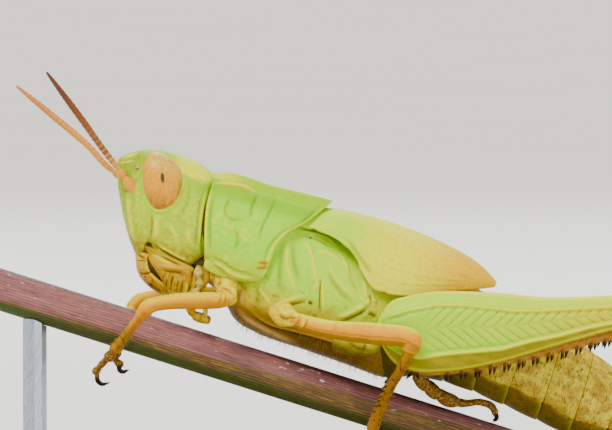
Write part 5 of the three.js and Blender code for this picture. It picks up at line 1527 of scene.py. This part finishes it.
def legWashes(look, cloud, fine):
    turn = look.mark("turn") + (look.noise(4, 2) - 0.5) * 0.3
    return [
        (look.step(0.35, 0.7, turn) * 0.95, paint(252, 222, 96)),
        (look.step(0.35, 0.1, turn) * look.step(-0.15, 0.05, turn) * 0.5, paint(218, 166, 84)),
        (look.step(-0.05, -0.2, turn) * look.step(-0.5, -0.3, turn) * 0.5, paint(166, 104, 8)),
        # The underside's ochre-olive band: partly its own colour, partly painted shade where it faces away from the
        # light.
        (look.step(-0.4, -0.7, turn) * 0.9, paint(184, 148, 6)),
        (look.mark("plain") * 0.9, paint(230, 184, 62)),
        # Painted highlight on the tops of the plain pieces, and painted shade on their undersides.
        (look.mark("plain") * look.step(0.1, 0.9, turn) * 0.6, paint(248, 210, 100)),
        (look.mark("plain") * look.step(0.0, -0.8, turn) * 0.8, paint(202, 144, 16)),
        (look.mark("hip") * 0.8, paint(226, 206, 100)),
        (look.mark("hip") * look.step(0.46, 0.62, look.noise(5, 3, 0.6)) * 0.5, paint(206, 156, 60)),
        (look.mark("mottled") * 0.8, paint(166, 122, 34)),
        (look.step(0.5, 0.66, look.noise(7, 3, 0.6, (1, 1, 0.5))) * look.mark("mottled"), paint(100, 62, 12)),
        (look.step(0.55, 0.7, look.noise(10, 2)) * look.mark("mottled") * 0.7, paint(206, 168, 90)),
        (look.mark("black"), paint(20, 16, 14)),
    ]


def footWashes(look, cloud, fine):
    foot = look.step(-1.2, -1.7, look.h)
    return [
        (foot * 0.85, paint(122, 80, 28)),
        (look.step(0.48, 0.64, look.noise(8, 3, 0.6)) * (foot * 0.6 + 0.2), paint(84, 52, 16)),
        (look.step(0.54, 0.64, look.noise(14, 2)) * 0.75, paint(214, 186, 112)),
        (look.mark("black"), paint(18, 14, 14)),
    ]


def mouthWashes(look, cloud, fine):
    streaks = look.noise(7, 3, 0.6, (3, 1, 0.12))
    jaw = look.step(-6.2, -5.8, look.s)
    return [
        (look.step(-0.5, 0.1, look.h) * look.step(-6.9, -6.5, look.s) * 0.8, paint(188, 172, 46)),
        (look.step(-0.4, -1.0, look.h) * jaw * 0.5, paint(190, 158, 60)),
        (look.step(0.5, 0.62, streaks) * look.step(-0.45, -0.9, look.h) * jaw * 0.7, paint(120, 88, 20)),
        (look.step(0.5, 0.42, streaks) * look.step(-0.35, -0.75, look.h) * jaw * 0.5, paint(232, 204, 110)),
        # Painted light: the labrum is lightened to offset the shade that falls on it.
        (look.step(-0.8, -1.05, look.h) * look.step(-5.4, -6.0, look.s) * 0.7, paint(220, 178, 64)),
        (look.step(0.46, 0.58, look.noise(7, 3, 0.6)) * look.step(-5.6, -6.2, look.s) * look.step(-0.4, -0.9, look.h) * 0.8, paint(120, 80, 16)),
        (look.mark("pale"), paint(200, 192, 130)),
        (look.mark("pale") * look.step(0.45, 0.62, look.noise(6, 3, 0.6)) * 0.6, paint(150, 132, 66)),
    ]


finishes = {
    "head_green": skin("headSkin", paint(188, 206, 64), headWashes),
    "shield_green": skin("saddleSkin", paint(184, 214, 62), saddleWashes, 0.12, pores=10.0, depth=0.016, Specular_IOR_Level=0.0),
    "flank_green": skin("flankSkin", paint(190, 214, 72), flankWashes),
    "wing_yellow": skin("wingSkin", paint(196, 216, 50), wingWashes, 0.1, 0.5, 16.0, 0.01, Specular_IOR_Level=0.03),
    "thigh_green": skin("thighSkin", paint(190, 212, 58), thighWashes, 0.12, 0.38),
    "belly_olive": skin("bellySkin", paint(200, 178, 96), bellyWashes),
    "leg_tan": skin("legSkin", paint(222, 180, 48), legWashes, 0.14, 0.36),
    "shin_brown": skin("shinSkin", paint(196, 156, 84), footWashes, 0.16, 0.4),
    "mouth_tan": skin("mouthSkin", paint(216, 192, 78), mouthWashes, 0.2),
}


def eyeFinish():
    look = Look("eyeLens", Specular_IOR_Level=0.15, Coat_Weight=0.12, Coat_Roughness=0.25, Subsurface_Weight=0.08, Subsurface_Scale=0.0003)
    cloud = look.noise(3, 3)
    top = look.step(2.8, 3.6, look.h + (cloud - 0.5) * 0.5)
    foot = look.step(2.5, 1.9, look.h + (cloud - 0.5) * 0.6)
    pupil = look.math("POWER", look.s + 6.94 - (2.95 - look.h) * 0.35, 2) * 120 + look.math("POWER", look.h - 2.95, 2) * 22
    rear = look.step(-6.35, -6.08, look.s - (look.h - 2.7) * (look.h - 2.7) * 0.16)
    color = look.layers(
        paint(238, 178, 84),
        (top * 0.9, paint(250, 196, 126)),
        (foot * 0.7, paint(196, 122, 46)),
        (look.step(0.45, 0.62, look.noise(5, 3, 0.6, (2.6, 1, 0.5))) * look.step(3.3, 2.7, look.h) * 0.55, paint(250, 190, 104)),
        (look.step(0.55, 0.65, look.noise(15, 2)) * 0.55, paint(168, 96, 44)),
        (look.step(0.56, 0.64, look.noise(7, 2)) * top * 0.6, paint(214, 120, 80)),
        (rear * 0.8, paint(168, 150, 44)),
        (look.step(1.2, 0.5, pupil) * 0.95, paint(56, 56, 48)),
    )
    facets = look.cells(34)
    return look.finish(color, cloud * 0.1 + 0.28, facets, 0.005)


def feelerFinish():
    look = Look("feelerSkin", Specular_IOR_Level=0.4, Subsurface_Weight=0.12, Subsurface_Scale=0.0003)
    # Painted light: the far feeler is lighter and more orange, as if lit through from behind; both feelers share one
    # colour.
    far = look.step(-0.4, 0.4, look.y)
    streak = look.noise(9, 3, 0.6, (0.5, 1, 1))
    color = look.layers(
        paint(176, 92, 12),
        (look.step(0.45, 0.62, streak) * 0.5, paint(132, 58, 8)),
        (look.mark("tip") * 0.9, paint(112, 44, 4)),
        (look.mark("root"), paint(218, 174, 36)),
        (look.mark("ring") * 0.7, paint(236, 186, 130)),
        (far * 0.9, paint(214, 166, 60)),
        (far * look.mark("tip") * 0.7, paint(198, 130, 74)),
    )
    return look.finish(color, streak * 0.2 + 0.36, streak, 0.01)


def stemFinish():
    look = Look("stemBark", Specular_IOR_Level=0.4)
    low = look.h + 3.36
    lines = look.noise(3.2, 4, 0.62, (0.1, 2.2, 2.6), 0.4)
    fine = look.noise(8, 4, 0.65, (0.22, 1.6, 2))
    flecks = look.step(0.64, 0.72, look.noise(5, 3, 0.6, (0.4, 1, 1.4)))
    ragged = low + (lines - 0.5) * 0.4
    brown = look.step(0.2, 0.02, ragged - look.s * 0.042)
    green = look.step(-0.32, -0.5, ragged)
    color = look.layers(
        paint(162, 104, 102),
        (look.step(0.42, 0.62, lines) * 0.75, paint(198, 148, 134)),
        (look.step(0.5, 0.38, fine) * 0.6, paint(112, 62, 58)),
        (brown, paint(128, 90, 36)),
        (look.step(0.48, 0.62, fine) * brown * 0.85, paint(180, 148, 66)),
        (look.step(0.5, 0.36, lines) * brown * 0.6, paint(96, 52, 40)),
        (green, paint(66, 92, 6)),
        (look.step(0.52, 0.66, fine) * green * 0.7, paint(112, 132, 24)),
        (look.mark("rib") * look.step(0.35, 0.6, lines) * 0.6, paint(88, 50, 40)),
        (look.mark("rib") * green * 0.5, paint(44, 66, 6)),
        (flecks * look.step(-0.1, 0.3, ragged) * 0.8, paint(232, 210, 200)),
        (look.step(0.66, 0.8, low) * 0.7, paint(84, 30, 32)),
        (look.mark("pith"), paint(186, 190, 110)),
        (look.mark("pith") * look.step(0.5, 0.62, look.cells(9)) * 0.5, paint(140, 140, 70)),
        (look.mark("hollow") * 0.8, paint(222, 214, 176)),
    )
    return look.finish(color, fine * 0.3 + 0.3, lines * 0.8 + fine, 0.03)


def woodFinish():
    look = Look("oiledWood", Specular_IOR_Level=0.4, Coat_Weight=0.15, Coat_Roughness=0.3)
    rings = look.node("ShaderNodeTexWave", {"bands_direction": "Z"}, {
        "Vector": look.node("ShaderNodeMapping", inputs={0: look.place, 2: (0.09, 0.004, 0.0), 3: (0.08, 0.5, 1)}),
        "Scale": 0.55, "Distortion": 5.0, "Detail": 3.0, "Detail Scale": 0.8}, 1)
    fibre = look.noise(3, 5, 0.65, (0.12, 3, 3))
    color = look.layers(
        paint(168, 124, 84),
        (look.step(0.3, 0.8, rings) * 0.7, paint(128, 84, 50)),
        (look.step(0.45, 0.62, fibre) * 0.45, paint(104, 66, 38)),
        (look.step(0.68, 0.74, look.noise(6, 2, 0.5, (0.2, 5, 5))) * 0.6, paint(70, 42, 24)),
    )
    return look.finish(color, fibre * 0.2 + 0.4, fibre + rings * 0.4, 0.02)


def steelFinish():
    look = Look("brushedRod", Metallic=1.0, Anisotropic=0.5)
    brushed = look.noise(14, 4, 0.6, (1, 1, 0.1))
    color = look.layers(paint(196, 198, 200), (look.step(0.4, 0.65, brushed) * 0.5, paint(160, 162, 166)))
    return look.finish(color, brushed * 0.2 + 0.22, brushed, 0.004)


def coreFinish():
    # Painted shade: the tissue's dark brown stands for the shade in the gaps it fills.
    look = Look("tissueInShade", Specular_IOR_Level=0.2)
    folds = look.noise(5, 4, 0.6)
    color = look.layers(paint(84, 58, 20), (look.step(0.45, 0.65, folds), paint(132, 100, 30)))
    return look.finish(color, folds * 0.2 + 0.5, folds, 0.03)


def hairFinish():
    look = Look("paleHair", Specular_IOR_Level=0.2)
    cloud = look.noise(3, 2)
    color = look.layers(paint(196, 164, 96), (look.step(0.4, 0.65, cloud), paint(140, 104, 52)))
    return look.finish(color, cloud * 0.2 + 0.4, cloud, 0.002)


def ocellusFinish():
    look = Look("ocellusLens", Specular_IOR_Level=0.2)
    cloud = look.noise(9, 3)
    color = look.layers(paint(218, 184, 138), (look.step(0.45, 0.6, cloud) * 0.85, paint(132, 72, 58)))
    return look.finish(color, cloud * 0.1 + 0.25, cloud, 0.006)


def floorFinish():
    look = Look("paleFloor", Specular_IOR_Level=0.0)
    cloud = look.noise(0.02, 3)
    color = look.layers((0.86, 0.87, 0.9, 1), (look.step(0.35, 0.7, cloud) * 0.3, (0.82, 0.83, 0.86, 1)))
    return look.finish(color, cloud * 0.1 + 0.85, look.noise(2, 2), 0.01)


finishes["eye_orange"] = eyeFinish()
finishes["feeler_red"] = feelerFinish()
finishes["stem_mauve"] = stemFinish()
finishes["hair"] = hairFinish()
for obj in dressed:
    wear(obj, finishes[obj["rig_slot"]])
for obj in coreObjects:
    wear(obj, coreFinish())
for obj in hairCoats:
    wear(obj, finishes["hair"])
for obj in collars:
    wear(obj, finishes["shield_green"])
for obj in ocelli:
    wear(obj, ocellusFinish())
for node, finish in {"stand_base": woodFinish(), "stand_rod_front": steelFinish(), "stand_rod_rear": steelFinish()}.items():
    for slot in bpy.data.objects[node].material_slots:
        slot.material = finish
wear(floor, floorFinish())
print("finishes made")

# ---- tidy up ----
deselectAll()
print("pieces", len(dressed))
